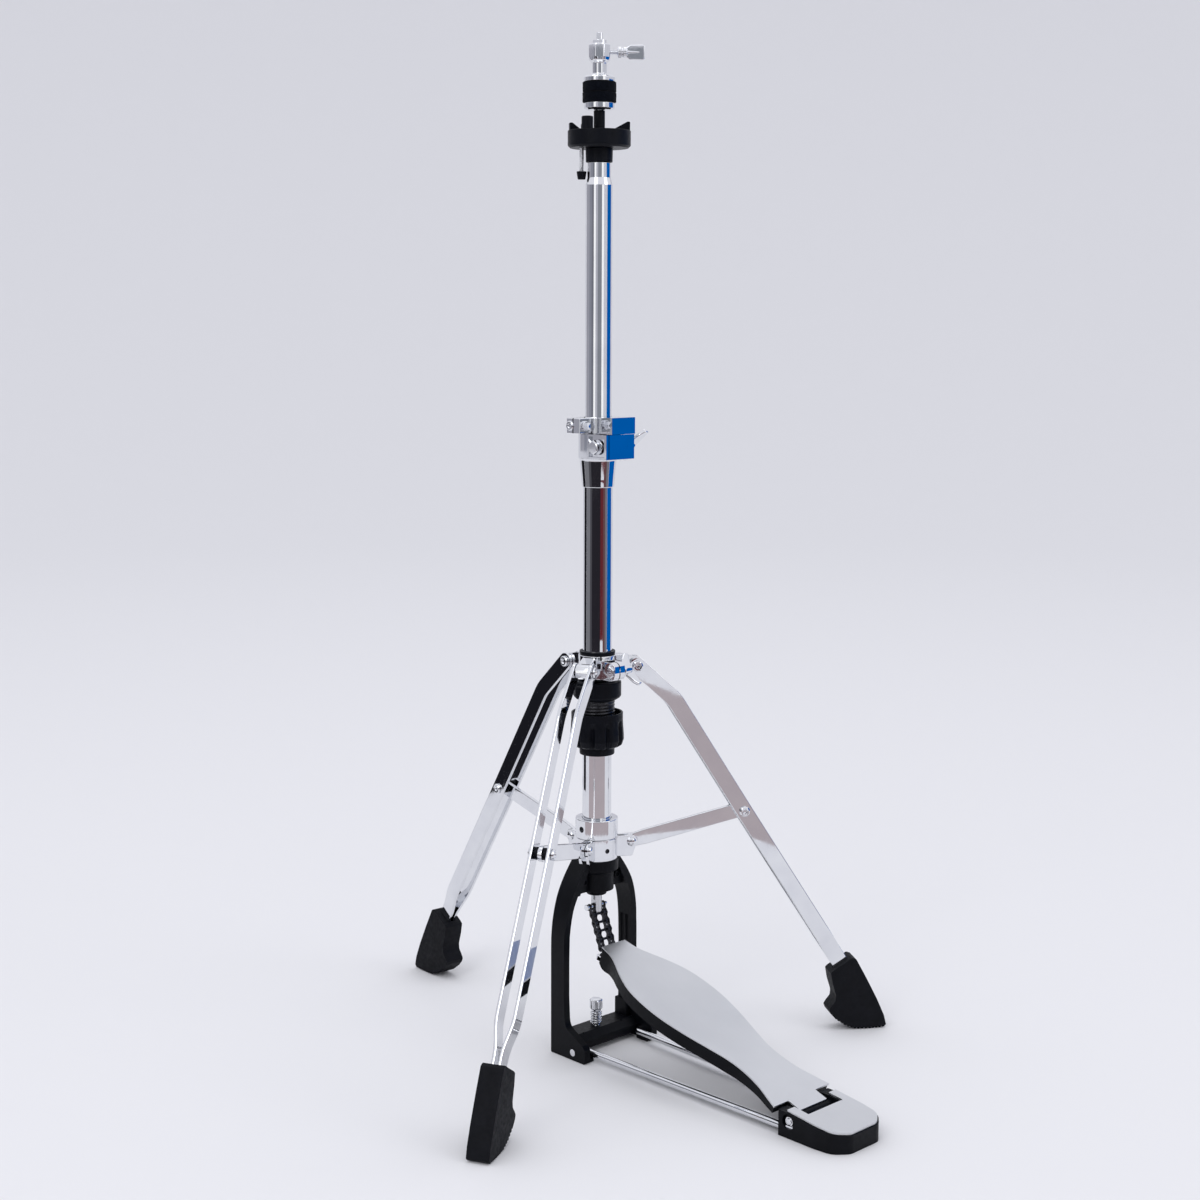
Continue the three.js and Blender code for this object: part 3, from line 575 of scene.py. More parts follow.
def stop_ring():
    ring = ring_of(LOWER_TUBE_R + CAP, 21, HUB_TOP + CAP, STOP_RING_TOP, 0.9, steps=96)
    screw_at = -179
    carve(ring, shaft(beside(screw_at, 16.5, 0, 223), beside(screw_at, 25, 0, 223), 3.0))
    dress("stop_ring_turned", ring, "stand_base", "chrome", "stop_ring")
    grub = thread(2.9, 0.25, 0.8, 0, 3.4, axis_at(beside(screw_at, 15, 0, 223), around(screw_at)[0]))
    dress("stop_ring_grub", grub, "stand_base", "black_steel")


def bracket(degrees, s):
    """one cheek of the brace bracket"""
    place = around(degrees)[2]
    r, z = BRACE_PIVOT
    outline = fillet([(17, 192.6), (r + 1, 192.6, 2.5)] + arc(r, z, 6.6, -0.9, 1.6, 8) + [(26, 213),
            (17, 213)], 1)
    inside = 2.3
    depth = (inside, inside + 3) if s > 0 else (-inside - 3, -inside)
    return slab(outline, depth, place, 0.5)


def lower_hub():
    hub = ring_of(LOWER_TUBE_R + CAP, 20.4, CASTING_TOP + CAP, HUB_TOP, 0.6, steps=96)
    front = -102.6
    carve(hub, shaft(beside(front, 17, 0, 202), beside(front, 24, 0, 202), 2.4))
    pieces = [hub]
    for degrees in LEG_ANGLES.values():
        r, z = BRACE_PIVOT
        for s in (-1, 1):
            pieces.append(bracket(degrees, s))
            pieces.append(dome(beside(degrees, r, s * 5.2, z), around(degrees)[1] * s, 4.6, 2.9))
        pieces.append(across(degrees, r, z, -3, 3, 2.9))
    dress("lower_hub_bracket", merge(*pieces), "stand_base", "chrome", "lower_hub")
    grub = thread(2.3, 0.25, 0.8, 0, 3.2, axis_at(beside(front, 15.4, 0, 202), around(front)[0]))
    dress("hub_grub", grub, "stand_base", "black_steel")


def dome(point, direction, radius, height, foot=0.8):
    """domed rivet head"""
    profile = [(0, -0.2), (radius, -0.2), (radius, foot * 0.4)]
    profile += [(radius * math.cos(a), foot * 0.4 + (height - foot * 0.4) * math.sin(a)) for a in (0.35,
            0.7, 1.05, 1.35)]
    return solid_of(profile + [(0, height)], 0.15, axis_at(point, direction), 32)


# spring tension unit
def tension_dial():
    bore, seat = 17.8, 303.7

    def fluted(angle, r, z):
        if r < 18 or z > 331:
            return r, z
        groove = max(0, math.cos(10 * angle)) ** 2
        fade = min(1, (331 - z) / 4)
        return r - 3.5 * groove * fade * min(1, (r - 18) / 6), z

    profile = [(bore, seat), (20.5, seat), (24.6, seat + 2.5), (26.4, seat + 8), (26.2, seat + 14),
            (25.6, seat + 21), (25.3, seat + 27), (25.3, 338.4), (23.3, 338.4), (23.3, 331.5),
            (bore, 331.5)]
    dial = lathe(fillet(profile, 1.2, steps=3), steps=180, loop=True, shape=fluted)
    dress("tension_dial_moulded", dial, "tension_dial", "black_plastic", "tension_dial", angle=50)


def tension_unit():
    sleeve_r = LOWER_TUBE_R + CAP
    seat = ring_of(sleeve_r, 17.2, 296.5, 303.4, 1.0, steps=96)
    dress("tension_seat_ring", seat, "stand_base", "black_plastic", "tension_seat")
    rows = 60
    low, high = 304, 350.7
    profile = [(sleeve_r, low)] + [(17.4, low + (high - low) * i / rows) for i in range(rows + 1)]
    profile.append((sleeve_r, high))

    def ridge(angle, r, z):
        if r < 15:
            return r, z
        wave = abs(((z / 3.1 - angle / TAU) % 1) * 2 - 1)
        return r - 0.75 * min(1, max(0, wave * 1.6 - 0.3)), z

    sleeve = lathe(profile, steps=96, loop=True, shape=ridge)
    dress("tension_sleeve_thread", sleeve, "stand_base", "black_steel", "tension_sleeve", angle=60)


def tension_ring():
    sleeve_r = LOWER_TUBE_R + CAP
    profile = [(sleeve_r, 351), (19, 351), (22.4, 353.2), (23.5, 355), (23.5, 369.8, 2.2), (18, 369.8),
            (17.2, 368.4), (sleeve_r, 368.4)]
    ring = lathe(fillet(profile, 0.6), steps=96, loop=True)
    degrees = -170
    _, left, place = around(degrees)
    outline = fillet([(20, 354), (29, 354, 3), (29, 367, 3), (20, 367)], 0.5)
    lug = slab(outline, (-4.5, 4.5), place, 0.9)
    union(ring, lug)
    dress("tension_ring_moulded", ring, "stand_base", "black_plastic", "tension_ring")
    screw = solid_of([(0, 0), (3, 0), (3, 1.6), (1.9, 2.5), (1.3, 1.2), (0, 1.2)], 0.25,
            axis_at(beside(degrees, 25, 4.4, 360.5), left), 32)
    dress("tension_ring_screw", screw, "stand_base", "chrome")


# wing screws
def wing_blade(base, span, reach, turn, near, z):
    """two-armed blade across a stem that runs along X"""
    half = [(base + 3, 6, 0), (base + reach * 0.42, span * 0.74, 6), (base + reach * 0.72, span * 0.98,
            3), (base + reach, span * 0.9, 2.4), (base + reach * 0.86, span * 0.42, 8),
            (base + reach * 0.74, 0, 6)]
    outline = half + [(a, -b, r) for a, b, r in reversed(half[:-1])]
    angle = math.radians(turn)
    place = frame_of((1, 0, 0), (0, -math.sin(angle), math.cos(angle)), (0, -near, z))
    return slab(fillet(outline, 3, steps=5), (-1.9, 1.9), place, 1.7, 4)


def wing_barrel(base, near, z, radius=5.4, length=11):
    points = [(0, 0), (radius, 0), (radius, 2.5), (radius * 0.86, length * 0.7), (radius * 0.7, length),
            (0, length)]
    return solid_of(points, 0.8, axis_at((base, -near, z), (1, 0, 0)), 40)


def collar_wing_bolt():
    near, z, base = 37, 384, -2.6
    screw = merge(thread(3.1, 0.4, 1.25, 0, 12.4, axis_at((-14.6, -near, z), (1, 0, 0))),
            wing_barrel(base, near, z),
            wing_blade(base, 18.5, 17, -37, near, z))
    dress("collar_wing_bolt_cast", screw, "collar_wing_bolt", "chrome", "collar_wing_bolt")


def clamp_wing_nut():
    near, z, base = 18.5, 598, 17.4
    nut = merge(wing_barrel(base, near, z), wing_blade(base, 22, 18, 45, near, z))
    dress("clamp_wing_nut_cast", nut, "clamp_wing_nut", "chrome", "clamp_wing_nut")


# tripod collar
def collar_lug(degrees):
    _, left, place = around(degrees)
    r, z = LEG_PIVOT
    outline = fillet([(16, 373), (30, 373, 2)] + arc(r, z, 7.5, -1.1, 1.7, 8) + [(24, 395), (16, 395)], 1)
    parts = [slab(outline, (-6.6, 6.6), place, 0.7)]
    for s in (-1, 1):
        parts.append(across(degrees, r, z, s * 6.4, s * 10.3, 2.9))
        parts.append(ring_head(beside(degrees, r, s * 10.4, z), left * s, 5.2, 2.0))
    return parts


def ring_head(point, direction, radius, height):
    """tubular rivet head with a rolled rim"""
    points = [(0, 0), (radius, 0), (radius, height * 0.55), (radius * 0.78, height),
            (radius * 0.5, height * 0.95), (radius * 0.36, height * 0.3), (0, height * 0.25)]
    return solid_of(points, 0.35, axis_at(point, direction), 36)


def tripod_collar():
    near, z = 37, 384
    body = ring_of(LOWER_TUBE_R + 1.4, 18.6, 372.5, 395.4, 0.9, steps=96)
    outline = fillet([(8, 375), (near + 5, 375, 7), (near + 5, 393, 7), (8, 393)], 0.5)
    ears = slab(outline, (3, 17), SIDE, 1)
    union(body, ears)
    carve(body,
            block((-10.6, -9.4), (-near - 10, -10), (370, 400)),
            upright(365, 400, LOWER_TUBE_R + 1.4, steps=96),
            shaft((-13, -near, z), (2, -near, z), 3.4))
    lugs = [part for degrees in LEG_ANGLES.values() for part in collar_lug(degrees)]
    cap = solid_of([(0, 0), (5.6, 0), (5.0, 2.2), (0, 2.6)], 0.5, axis_at((-16.8, -near, z), (-1, 0, 0)), 6)
    dress("tripod_collar_cast", merge(body, cap, *lugs), "tripod_collar", "chrome", "tripod_collar")
    inner = LOWER_TUBE_R + CAP
    profile = [(inner, 370.7), (17.4, 370.7), (17.4, 372.2), (15.4, 372.2), (15.4, 395.7), (17.0, 395.7),
            (17.4, 396.6), (17.4, 399), (inner, 399)]
    dress("collar_bush_moulded", lathe(fillet(profile, 0.3), steps=96, loop=True), "tripod_collar",
            "black_plastic", "collar_bush")


# height clamp and memory lock
def height_clamp():
    near, z = 18.5, 598
    points = [(0, 558.4), (15.6, 558.4, 0.8), (16.2, 566, 8), (17.8, 584, 2), (19, 586.4, 0.5),
            (19, 609.8, 0.6), (0, 609.8)]
    body = solid_of(points, 0.5, steps=96)
    ears = block((-20, 17), (-32, -6), (586.5, 609.8))
    union(body, ears)
    carve(body,
            block((-16.9, -15.9), (-40, -14), (586, 612)),
            block((-30, -17.4), (-29, -8), (588.5, 608)),
            shaft((-30, -near, z), (20, -near, z), 3.4),
            upright(550, 575.3, LOWER_TUBE_R + CAP, steps=96),
            upright(570, 620, UPPER_TUBE_R + CAP, steps=96))
    soften(body, 0.3, 2, 40)
    dress("sleeve", body, "stand_base", "chrome", "height_clamp")
    head = solid_of([(0, 0), (5.6, 0), (6.9, 1.0), (6.9, 5.6), (0, 5.6)], 0.3,
            axis_at((-25.2, -near, z), (1, 0, 0)), 6)
    bolt = merge(head,
            rod((-20.2, -near, z), (-19.2, -near, z), 7.4, edge=0.3),
            thread(2.6, 0.3, 1, 0, 36, axis_at((-20, -near, z), (1, 0, 0))))
    dress("clamp_hex_bolt_forged", bolt, "stand_base", "chrome", "clamp_hex_bolt")


def memory_lock():
    low, high = 610.1, 625.8
    body = solid_of([(0, low), (17.8, low), (17.8, high), (0, high)], 0.8, steps=96)
    union(body,
            block((-13, 18), (-32, -8), (low, high)),
            block((-33, -8), (-9, 9), (low + 0.6, high - 0.6), 0.8))
    carve(body,
            upright(600, 640, UPPER_TUBE_R + CAP, steps=96),
            block((-40, -12), (-0.7, 0.7), (600, 640)),
            block((-13.4, -12.6), (-34, -12), (600, 640)),
            shaft((-26, 20, 618), (-26, -20, 618), 2.6))
    soften(body, 0.3, 2, 40)
    knuckle = rod((-15.2, -11.6, low + 0.5), (-15.2, -11.6, high - 0.5), 2.4, edge=0.5)
    pin_end = ring_head((-32.9, 4, 617.9), (-1, 0, 0), 4.8, 1.6)
    dress("memory_lock_cast", merge(body, knuckle, pin_end), "upper_tube", "chrome", "memory_lock")
    key = merge(thread(2.2, 0.25, 0.8, 0, 17.6, axis_at((-26, 8, 618), (0, -1, 0))),
            solid_of([(0, 0), (4.6, 0), (4.6, 2.2), (0, 2.2)], 0.4,
                axis_at((-26, -9.2, 618), (0, -1, 0)), 96, knurl(22, 0.3)),
            solid_of([(0, 0), (3.2, 0), (3.2, 5.7), (0, 5.7)], 0.4,
                axis_at((-26, -11.3, 618), (0, -1, 0)), 4))
    dress("lock_key_screw_turned", key, "lock_key_screw", "chrome", "lock_key_screw")


# bottom cymbal seat
def prong(degrees, height, width, inner):
    """wedge that carries the bell of the bottom cymbal"""
    _, _, place = around(degrees)
    outline = fillet([(inner, 888), (28.6, 888), (28.8, height, 1.4), (26.2, height, 1.6),
            (inner, 893, 2)], 0.5)
    return slab(outline, (-width, width), place, 0.4)


def seat():
    bore = ROD_R + 0.6
    hub = lathe(fillet([(bore, 850), (9.3, 850), (9.3, 863.3), (12.6, 863.3), (12.9, 876), (bore, 876)],
            0.5), steps=64, loop=True)
    dress("seat_hub_moulded", hub, "upper_tube", "black_plastic", "seat_hub")
    points = [(0, 876.3), (27.4, 876.3, 0.8), (29.6, 878.4, 1.4), (29.6, 892.3, 0.8), (27.6, 892.3, 0.6),
            (26.6, 890, 1), (9, 890, 1), (8, 892.3, 0.5), (0, 892.3)]
    cup = solid_of(points, 0.5, steps=96)
    degrees = -162
    rib = rod(beside(degrees, 23.4, 0, 879), beside(degrees, 23.4, 0, 903.8), 5.4, edge=1.4)
    union(cup, rib, prong(-42, 900.6, 3, 12), prong(78, 900.6, 3, 12), prong(150, 899, 2.4, 18))
    x, y, _ = beside(TILTER_DEGREES, 16.5, 0, 0)
    carve(cup,
            upright(870, 899, 6.1),
            shaft((x, y, 870), (x, y, 910), 2.6))
    dress("seat_cup_moulded", cup, "upper_tube", "black_plastic", "seat_cup")
    sleeve = lathe(fillet([(bore, 876.3), (5.3, 876.3), (5.3, 910.7, 0.8), (bore, 910.7)], 0.3), steps=64,
            loop=True)
    dress("seat_sleeve_moulded", sleeve, "upper_tube", "black_plastic", "seat_sleeve")
    screw = thread(2.2, 0.32, 0.9, 0, 33, axis_at((x, y, 853), (0, 0, 1)))
    dress("tilter_screw_thread", screw, "tilter_screw", "chrome", "tilter_screw")
    knob = solid_of([(0, 847.5), (3.7, 847.5), (4.9, 855), (0, 855)], 0.7, Matrix.Translation((x, y, 0)),
            72, knurl(12, 0.5))
    dress("tilter_knob_moulded", knob, "tilter_screw", "black_plastic", "tilter_knob")


# pull rod and clutch
def pull_rod():
    upper = merge(solid_of([(0, 256.3), (ROD_R, 256.3), (ROD_R, 981.5), (0, 981.5)], 0.7, steps=40),
            solid_of([(0, 328), (9.8, 328), (9.8, 331), (0, 331)], 0.4))
    dress("pull_rod_drawn", upper, "pull_rod", "chrome", "pull_rod")
    lower = solid_of([(0, 136), (5.3, 136, 1), (5.3, 256), (0, 256)], 0.5)
    carve(lower,
            block((4, 20), (-20, 20), (130, 149)),
            block((-20, -4), (-20, 20), (130, 149)),
            shaft((-20, 0, 142), (20, 0, 142), 2.2))
    soften(lower, 0.3, 2, 40)
    dress("lower_rod_turned", lower, "pull_rod", "satin", "lower_rod")
    pin = merge(rod((-12.8, 0, 142), (13, 0, 142), 1.9, edge=0.3), rod((-14, 0, 142), (-12.4, 0, 142),
            3.2, edge=0.5))
    dress("chain_pin_turned", pin, "pull_rod", "chrome", "chain_pin")
    low, high, travel = 240.4, 327.6, 40.4
    spring = coil(9, 1.1, 7, low, high)
    dress("return_spring_wire", spring, "stand_base", "black_steel", "return_spring")
    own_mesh(spring)


def felt(low, high, seed):
    """felt washer with a soft uneven edge"""

    def fuzzy(angle, r, z):
        if r < 8:
            return r, z
        ripple = noise.noise(Vector((4 * math.cos(angle), 4 * math.sin(angle), z * 0.3 + seed)))
        fibre = noise.noise(Vector((26 * math.cos(angle), 26 * math.sin(angle), z * 1.7 + seed)))
        return r + 0.28 * ripple + 0.16 * fibre - 0.25, z + 0.1 * ripple

    rows = 12
    side = [(16, low + 0.45 + (high - low - 0.9) * i / rows) for i in range(rows + 1)]
    profile = [(6.3, low + 0.1), (11, low + 0.1), (15.6, low + 0.12)] + side
    profile += [(15.6, high - 0.12), (11, high - 0.1), (6.3, high - 0.1)]
    return lathe(profile, steps=200, loop=True, shape=fuzzy)


def clutch():
    bore = ROD_R + CAP
    points = [(bore, 913.5), (6, 913.5), (6, 936.9), (14.6, 936.9, 0.5), (14.6, 940.6, 0.5),
            (13, 942, 0.6), (8, 942.2, 1.5), (6.9, 944, 1.2), (6.9, 953.6, 1.5)]
    points += [(9.6, 956, 2.4), (10.6, 959, 2), (10.6, 969.6, 0.7), (9.4, 971, 0.6), (6.6, 971, 0.2),
            (6.5, 974.6, 0.5), (bore, 974.6)]

    def octagon(angle, r, z):
        if r < 8 or z < 955 or z > 971.5:
            return r, z
        facet = (angle + PI / 8) % (PI / 4) - PI / 8
        flat = 10.0 / math.cos(facet)
        return min(r, flat), z

    body = lathe(fillet(points, 0.3), steps=128, loop=True, shape=octagon)
    dress("clutch_body_turned", body, "clutch", "chrome", "clutch_body", angle=24)
    nut = lathe(fillet([(bore, 911), (12.4, 911, 1.2), (14.3, 912.6, 0.8), (14.3, 917.5, 0.5),
            (6.3, 917.5), (6.3, 913.2), (bore, 913.2)], 0.2), steps=96, loop=True)
    dress("clutch_nut_turned", nut, "clutch", "chrome", "clutch_nut")
    dress("lower_felt_pad", felt(917.8, 927, 3), "clutch", "felt", "lower_felt", angle=60)
    dress("upper_felt_pad", felt(927.3, 936.5, 9), "clutch", "felt", "upper_felt", angle=60)
    clutch_wing()


def clutch_wing():
    z = 963.5
    out, left, place = around(CLUTCH_SCREW_DEGREES)
    outline = fillet([(24.5, z - 4.2), (28, z - 6.6), (42, z - 7.0), (42, z + 7.0), (28, z + 6.6),
            (24.5, z + 4.2)], 2.2)
    blade = slab(outline, (-1.7, 1.7), place, 1.0)
    boss = solid_of([(0, 0), (4.2, 0), (5.2, 1), (5.2, 3.6), (4.1, 4.2), (4.1, 5.2), (5.0, 6), (4.8, 8.6),
            (3.4, 9.5), (0, 9.5)], 0.35, axis_at(beside(CLUTCH_SCREW_DEGREES, 16.5, 0, z), out), 120,
            knurl(20, 0.25))
    stem = thread(2.3, 0.3, 0.9, 0, 13.5, axis_at(beside(CLUTCH_SCREW_DEGREES, 4, 0, z), out))
    ridges = []
    for s in (-1, 1):
        ridges.append(rod(beside(CLUTCH_SCREW_DEGREES, 25, s * 1.3, z), beside(CLUTCH_SCREW_DEGREES, 37,
                s * 1.3, z), 1.6, 0.7, 0.3, 20))
    dress("clutch_wing_screw_cast", merge(blade, boss, stem, *ridges), "clutch_wing_screw", "chrome",
            "clutch_wing_screw")


# legs, braces, feet
def rounded_section(width, height, corner):
    half_w, half_h = width / 2, height / 2
    return fillet([(-half_w, -half_h), (half_w, -half_h), (half_w, half_h), (-half_w, half_h)], corner,
            steps=3)


def strap(stations, depth, thickness, degrees):
    """flat bar in a leg's plane; stations are (r, z, sideways, share of the full depth)"""
    out, left, _ = around(degrees)
    corner = 0.7
    vertices = []
    count = len(stations)
    for i, (r, z, sideways, share) in enumerate(stations):
        before, after = stations[max(i - 1, 0)], stations[min(i + 1, count - 1)]
        along = Vector((after[0] - before[0], after[1] - before[1])).normalized()
        up = out * -along.y + Vector((0, 0, 1)) * along.x
        section = rounded_section(thickness, max(depth * share, 2 * corner + 0.1), corner)
        centre = out * r + left * sideways + Vector((0, 0, z))
        vertices += [centre + left * s + up * u for s, u in section]
    width = len(section)
    return mesh_piece(vertices, skin(count, width) + end_caps(count, width))


def round_end(point, direction, depth, outward):
    """stations that close a bar in a half circle past its pivot"""
    stations = []
    for k in range(9):
        angle = PI / 2 * (1 - k / 9) * 0.985
        stations.append((point[0] + direction[0] * math.sin(angle) * depth / 2,
                point[1] + direction[1] * math.sin(angle) * depth / 2, math.cos(angle)))
    return list(reversed(stations)) if outward else stations


def leg_path():
    """centre line of a leg bar with its bend rounded, as (r, z)"""
    line = fillet([LEG_PIVOT, (*LEG_BEND, 45), LEG_RIVET, LEG_END], 0, loop=False, steps=10)
    tail_start, tail = Vector(LEG_RIVET), Vector(LEG_END)
    length = (tail - tail_start).length
    extra = [tuple(tail_start.lerp(tail, (length - d) / length)) for d in (80, 62, 56, 50, 44, 38, 32, 26,
            20)]
    return line[:-1] + extra + [LEG_END]


def leg_sideways(point, wide):
    """the bars run parallel, then come together above the foot"""
    d = (Vector(LEG_END) - Vector(point)).length
    t = min(1, max(0, (d - 26) / 36))
    t = t * t * (3 - 2 * t)
    return 3.2 + (wide - 3.2) * t


def leg_bar(degrees, s):
    top = (Vector(LEG_PIVOT) - Vector(LEG_BEND)).normalized()
    wide = 8.5
    stations = [(r, z, s * wide, share) for r, z, share in round_end(LEG_PIVOT, top, 16.5, False)]
    stations += [(p[0], p[1], s * leg_sideways(p, wide), 1) for p in leg_path()]
    return strap(stations, 16.5, 3.2, degrees)


def leg(name, degrees):
    body = f"{name}_leg"
    for label, s in (("outer", -1), ("inner", 1)):
        dress(f"{body}_{label}_strap", leg_bar(degrees, s), body, "chrome", f"{body}_{label}_bar")
    r, z = LEG_RIVET
    left = around(degrees)[1]
    parts = [across(degrees, r, z, -11, 11, 2.6)]
    for s in (-1, 1):
        parts.append(ring_head(beside(degrees, r, s * 10.3, z), left * s, 5.2, 2.4))
    dress(f"{body}_rivet_set", merge(*parts), body, "chrome", f"{body}_rivet")
    spacers = [across(degrees, r, z, s * 2.3, s * 6.6, 5.8, edge=0.8) for s in (-1, 1)]
    dress(f"{body}_spacers", merge(*spacers), body, "black_plastic")
    foot(name, degrees)


def toothed(points, pitch, depth):
    """a run of small ribs along an open polyline, cut into the side on its right"""
    result = []
    for start, end in zip(points[:-1], points[1:]):
        a, b = Vector(start), Vector(end)
        along = b - a
        count = max(1, round(along.length / pitch))
        side = Vector((along.y, -along.x)).normalized() * depth
        for k in range(count):
            for t, cut in ((0.0, 0), (0.55, 0), (0.62, 1), (0.93, 1)):
                result.append(tuple(a + along * (k + t) / count + side * cut))
    result.append(points[-1])
    return result


def foot(name, degrees):
    _, _, place = around(degrees)
    top = fillet([(242.5, 50, 4), (240.5, 61, 1.5), (243, 63.4, 1), (256, 71.5, 3), (262.5, 76, 3),
            (267, 74.4, 3), (279, 52.5, 40), (290, 31, 40), (298, 13, 20), (300.3, 3.4, 2)], 1,
            loop=False, steps=5)
    sole = toothed([(298, 0.8), (284, 0), (268, 0.6), (257, 4.5), (247, 11.5)], 3.6, 1.3)
    heel = fillet([(247, 11.5), (241, 18, 3), (239.5, 22, 2), (242, 26, 3), (246, 31, 5), (246.5, 37, 8),
            (242.5, 50)], 2, loop=False, steps=4)
    body = slab(top + sole + heel[1:-1], (-11, 11), place, 1.3, 3)
    slope = (Vector(LEG_END) - Vector(LEG_RIVET)).normalized()
    end = Vector(LEG_END)
    stations = [(*(end - slope * 60), 0, 1), (*(end + slope * 1.5), 0, 1)]
    carve(body, strap(stations, 17.1, 10.2, degrees))
    dress(f"{name}_foot_moulded", body, f"{name}_leg", "rubber", f"{name}_foot", angle=45)


def brace(name, degrees):
    out_dir = (Vector(LEG_RIVET) - Vector(BRACE_PIVOT)).normalized()
    start = [(r, z, 0, share * 0.86) for r, z, share in round_end(BRACE_PIVOT, -out_dir, 15, False)]
    pivot = Vector(BRACE_PIVOT)
    middle = [(*BRACE_PIVOT, 0, 0.86), (*(pivot + out_dir * 6), 0, 0.9), (*(pivot + out_dir * 14), 0, 1),
            (*LEG_RIVET, 0, 1)]
    end = [(r, z, 0, share) for r, z, share in round_end(LEG_RIVET, out_dir, 15, True)]
    bar = strap(start + middle + end, 15, 4, degrees)
    for point, radius in ((BRACE_PIVOT, 3.2), (LEG_RIVET, 5)):
        r, z = point
        carve(bar, shaft(beside(degrees, r, -9, z), beside(degrees, r, 9, z), radius))
    dress(f"{name}_brace_strap", bar, f"{name}_brace", "chrome", f"{name}_brace")


# pedal frame
def frame_rods():
    radius, z, rear, front = 3.5, 8, 37.5, 29.5
    section = arc(0, 0, radius, 0, TAU * 23 / 24, 23)
    for name, s in (("left", -1), ("right", 1)):
        path = fillet([(s * 50.8, -20), (s * rear, -20, 5), (s * front, -300)], 0, loop=False, steps=8)
        piece = sweep([(x, y, z) for x, y in path], section)
        dress(f"{name}_frame_rod", piece, "stand_base", "chrome", f"{name}_pedal_rod")


def heel_outline(inset):
    front, half, rear, recess = 271 + inset, 34.5 - inset, 342 - inset, 22.5 + inset
    right = [(recess, front, 0.5), (half, front, 1.2), (half, 312, 60), (half - 2, 331, 16),
            (half - 15, rear, 12)]
    left = [(-x, y, r) for x, y, r in reversed(right)]
    return fillet([(recess, 296 + inset, 0.6)] + right + left + [(-recess, 296 + inset, 0.6)], 1, steps=6)


def heel():
    def top(drop):
        return [(260, 26.2 - drop), (281, 26 - drop), (343, 18.5 - drop), (360, 16.4 - drop)]

    side = [(260, 0), (360, 0)] + list(reversed(top(2.2)))
    body = slab(heel_outline(0), (0, -40), PLAN)
    carve(body, slab(side, (-60, 60), SIDE), operation="INTERSECT")
    carve(body,
            hinge_shaft(-60, 60, 3.3),
            shaft((-30.36, -268, 8), (-29.5, -300.4, 8), 3.75),
            shaft((30.36, -268, 8), (29.5, -300.4, 8), 3.75))
    for s in (-1, 1):
        carve(body, hinge_shaft(s * 31.5, s * 40, 6.8))
    soften(body, 1.4, 3, 30)
    dress("heel_casting_body", body, "stand_base", "black_cast", "heel_casting")
    plate = slab([(x, max(y, 281)) for x, y in heel_outline(1.2)], (0, -40), PLAN)
    skin = slab(top(1.9) + list(reversed(top(0))), (-60, 60), SIDE)
    carve(plate, skin, operation="INTERSECT")
    soften(plate, 0.45, 3, 30)
    dress("heel_plate_sheet", plate, "stand_base", "satin", "heel_plate")
    pin = [rod((-34, -HINGE_OUT, HINGE_Z), (34, -HINGE_OUT, HINGE_Z), 3, edge=0.7)]
    for s in (-1, 1):
        pin.append(e_clip(s * 32.6))
    dress("hinge_pin_set", merge(*pin), "stand_base", "chrome", "hinge_pin")


def e_clip(x):
    """retaining clip with three lobes, open at one side"""
    outline = arc(0, 0, 4.2, -1.15, 4.3, 26)
    inner = [(2.9 * math.cos(a), 2.9 * math.sin(a)) for a in [4.3 - 5.45 * k / 26 for k in range(27)]]
    for k in (5, 6, 13, 14, 20, 21):
        inner[k] = (inner[k][0] * 1.2, inner[k][1] * 1.2)
    place = frame_of((0, 1, 0), (0, 0, 1), (x, -HINGE_OUT, HINGE_Z))
    return slab(outline + inner, (-0.6, 0.6), place, 0.2, 2)


# footboard
BOARD_SHAPE = [(0, 15.5), (16, 18), (28, 23.5), (46, 33), (66, 40.5), (90, 43.6), (115, 43), (142, 38.5),
        (168, 32), (190, 27), (210, 26.2), (230, 29), (246, 34), (258.5, 38)]


def board_frame():
    cos, sin = math.cos(PEDAL_SLOPE), math.sin(PEDAL_SLOPE)
    return frame_of((0, -cos, -sin), (1, 0, 0), (0, -TOE_OUT, TOE_Z))


def board_outline(inset, tongue_end):
    right = [(min(max(s, inset), 258.5 - inset), half - inset) for s, half in spline(BOARD_SHAPE, 5)]
    if tongue_end > 258.5:
        tongue = 18.5 - inset
        right += fillet([(258.5 - inset, 38 - inset), (258.5 - inset, tongue, 0.8),
                (tongue_end - inset, tongue, 1), (tongue_end - inset, 0)], 0, loop=False, steps=3)[1:-1]
    return right + [(s, -half) for s, half in reversed(right)]


def footboard():
    board = board_frame()
    plate = slab(board_outline(0, 273), (-1.6, 0), board, 0.45)
    dress("footboard_sheet", plate, "pedal", "satin", "footboard_plate")
    body = slab(board_outline(0.8, 273), (-22, -1.9), board)
    half = 22.2
    barrel = hinge_shaft(-half, half, 5)
    edge = spline([(-5, -15), (2, -19.4), (7, -21.9), (13, -21.6), (22, -18.6), (34, -15.8), (46, -15)])
    edge += [(300, -15), (300, -60), (-5, -60)]
    hollow = [(s, half) for s, half in board_outline(4, 250) if 26 < s < 254]
    clip_slot = [(-1, -10.6), (24, -10.6), (24, 10.6), (-1, 10.6)]
    under = [(200, 34.3), (266.6, 19.2), (276, 14), (276, -50), (200, -50)]
    carve(body, slab(hollow, (-27, -5), board),
            slab(edge, (-60, 60), frame_of(*toe_axes())),
            slab(under, (-60, 60), SIDE))
    union(body, barrel)
    tools = [slab(clip_slot, (-30, -15), board)]
    for s in (-1, 1):
        tools.append(block(sorted((s * half, s * 60)), (-HINGE_OUT - 40, -HINGE_OUT + 12.6), (-20, 60)))
    tools.append(hinge_shaft(-60, 60, 3.3))
    carve(body, *tools)
    soften(body, 0.8, 2, 30)
    dress("footboard_casting_body", body, "pedal", "black_cast", "footboard_casting")
    toe_clip(board)


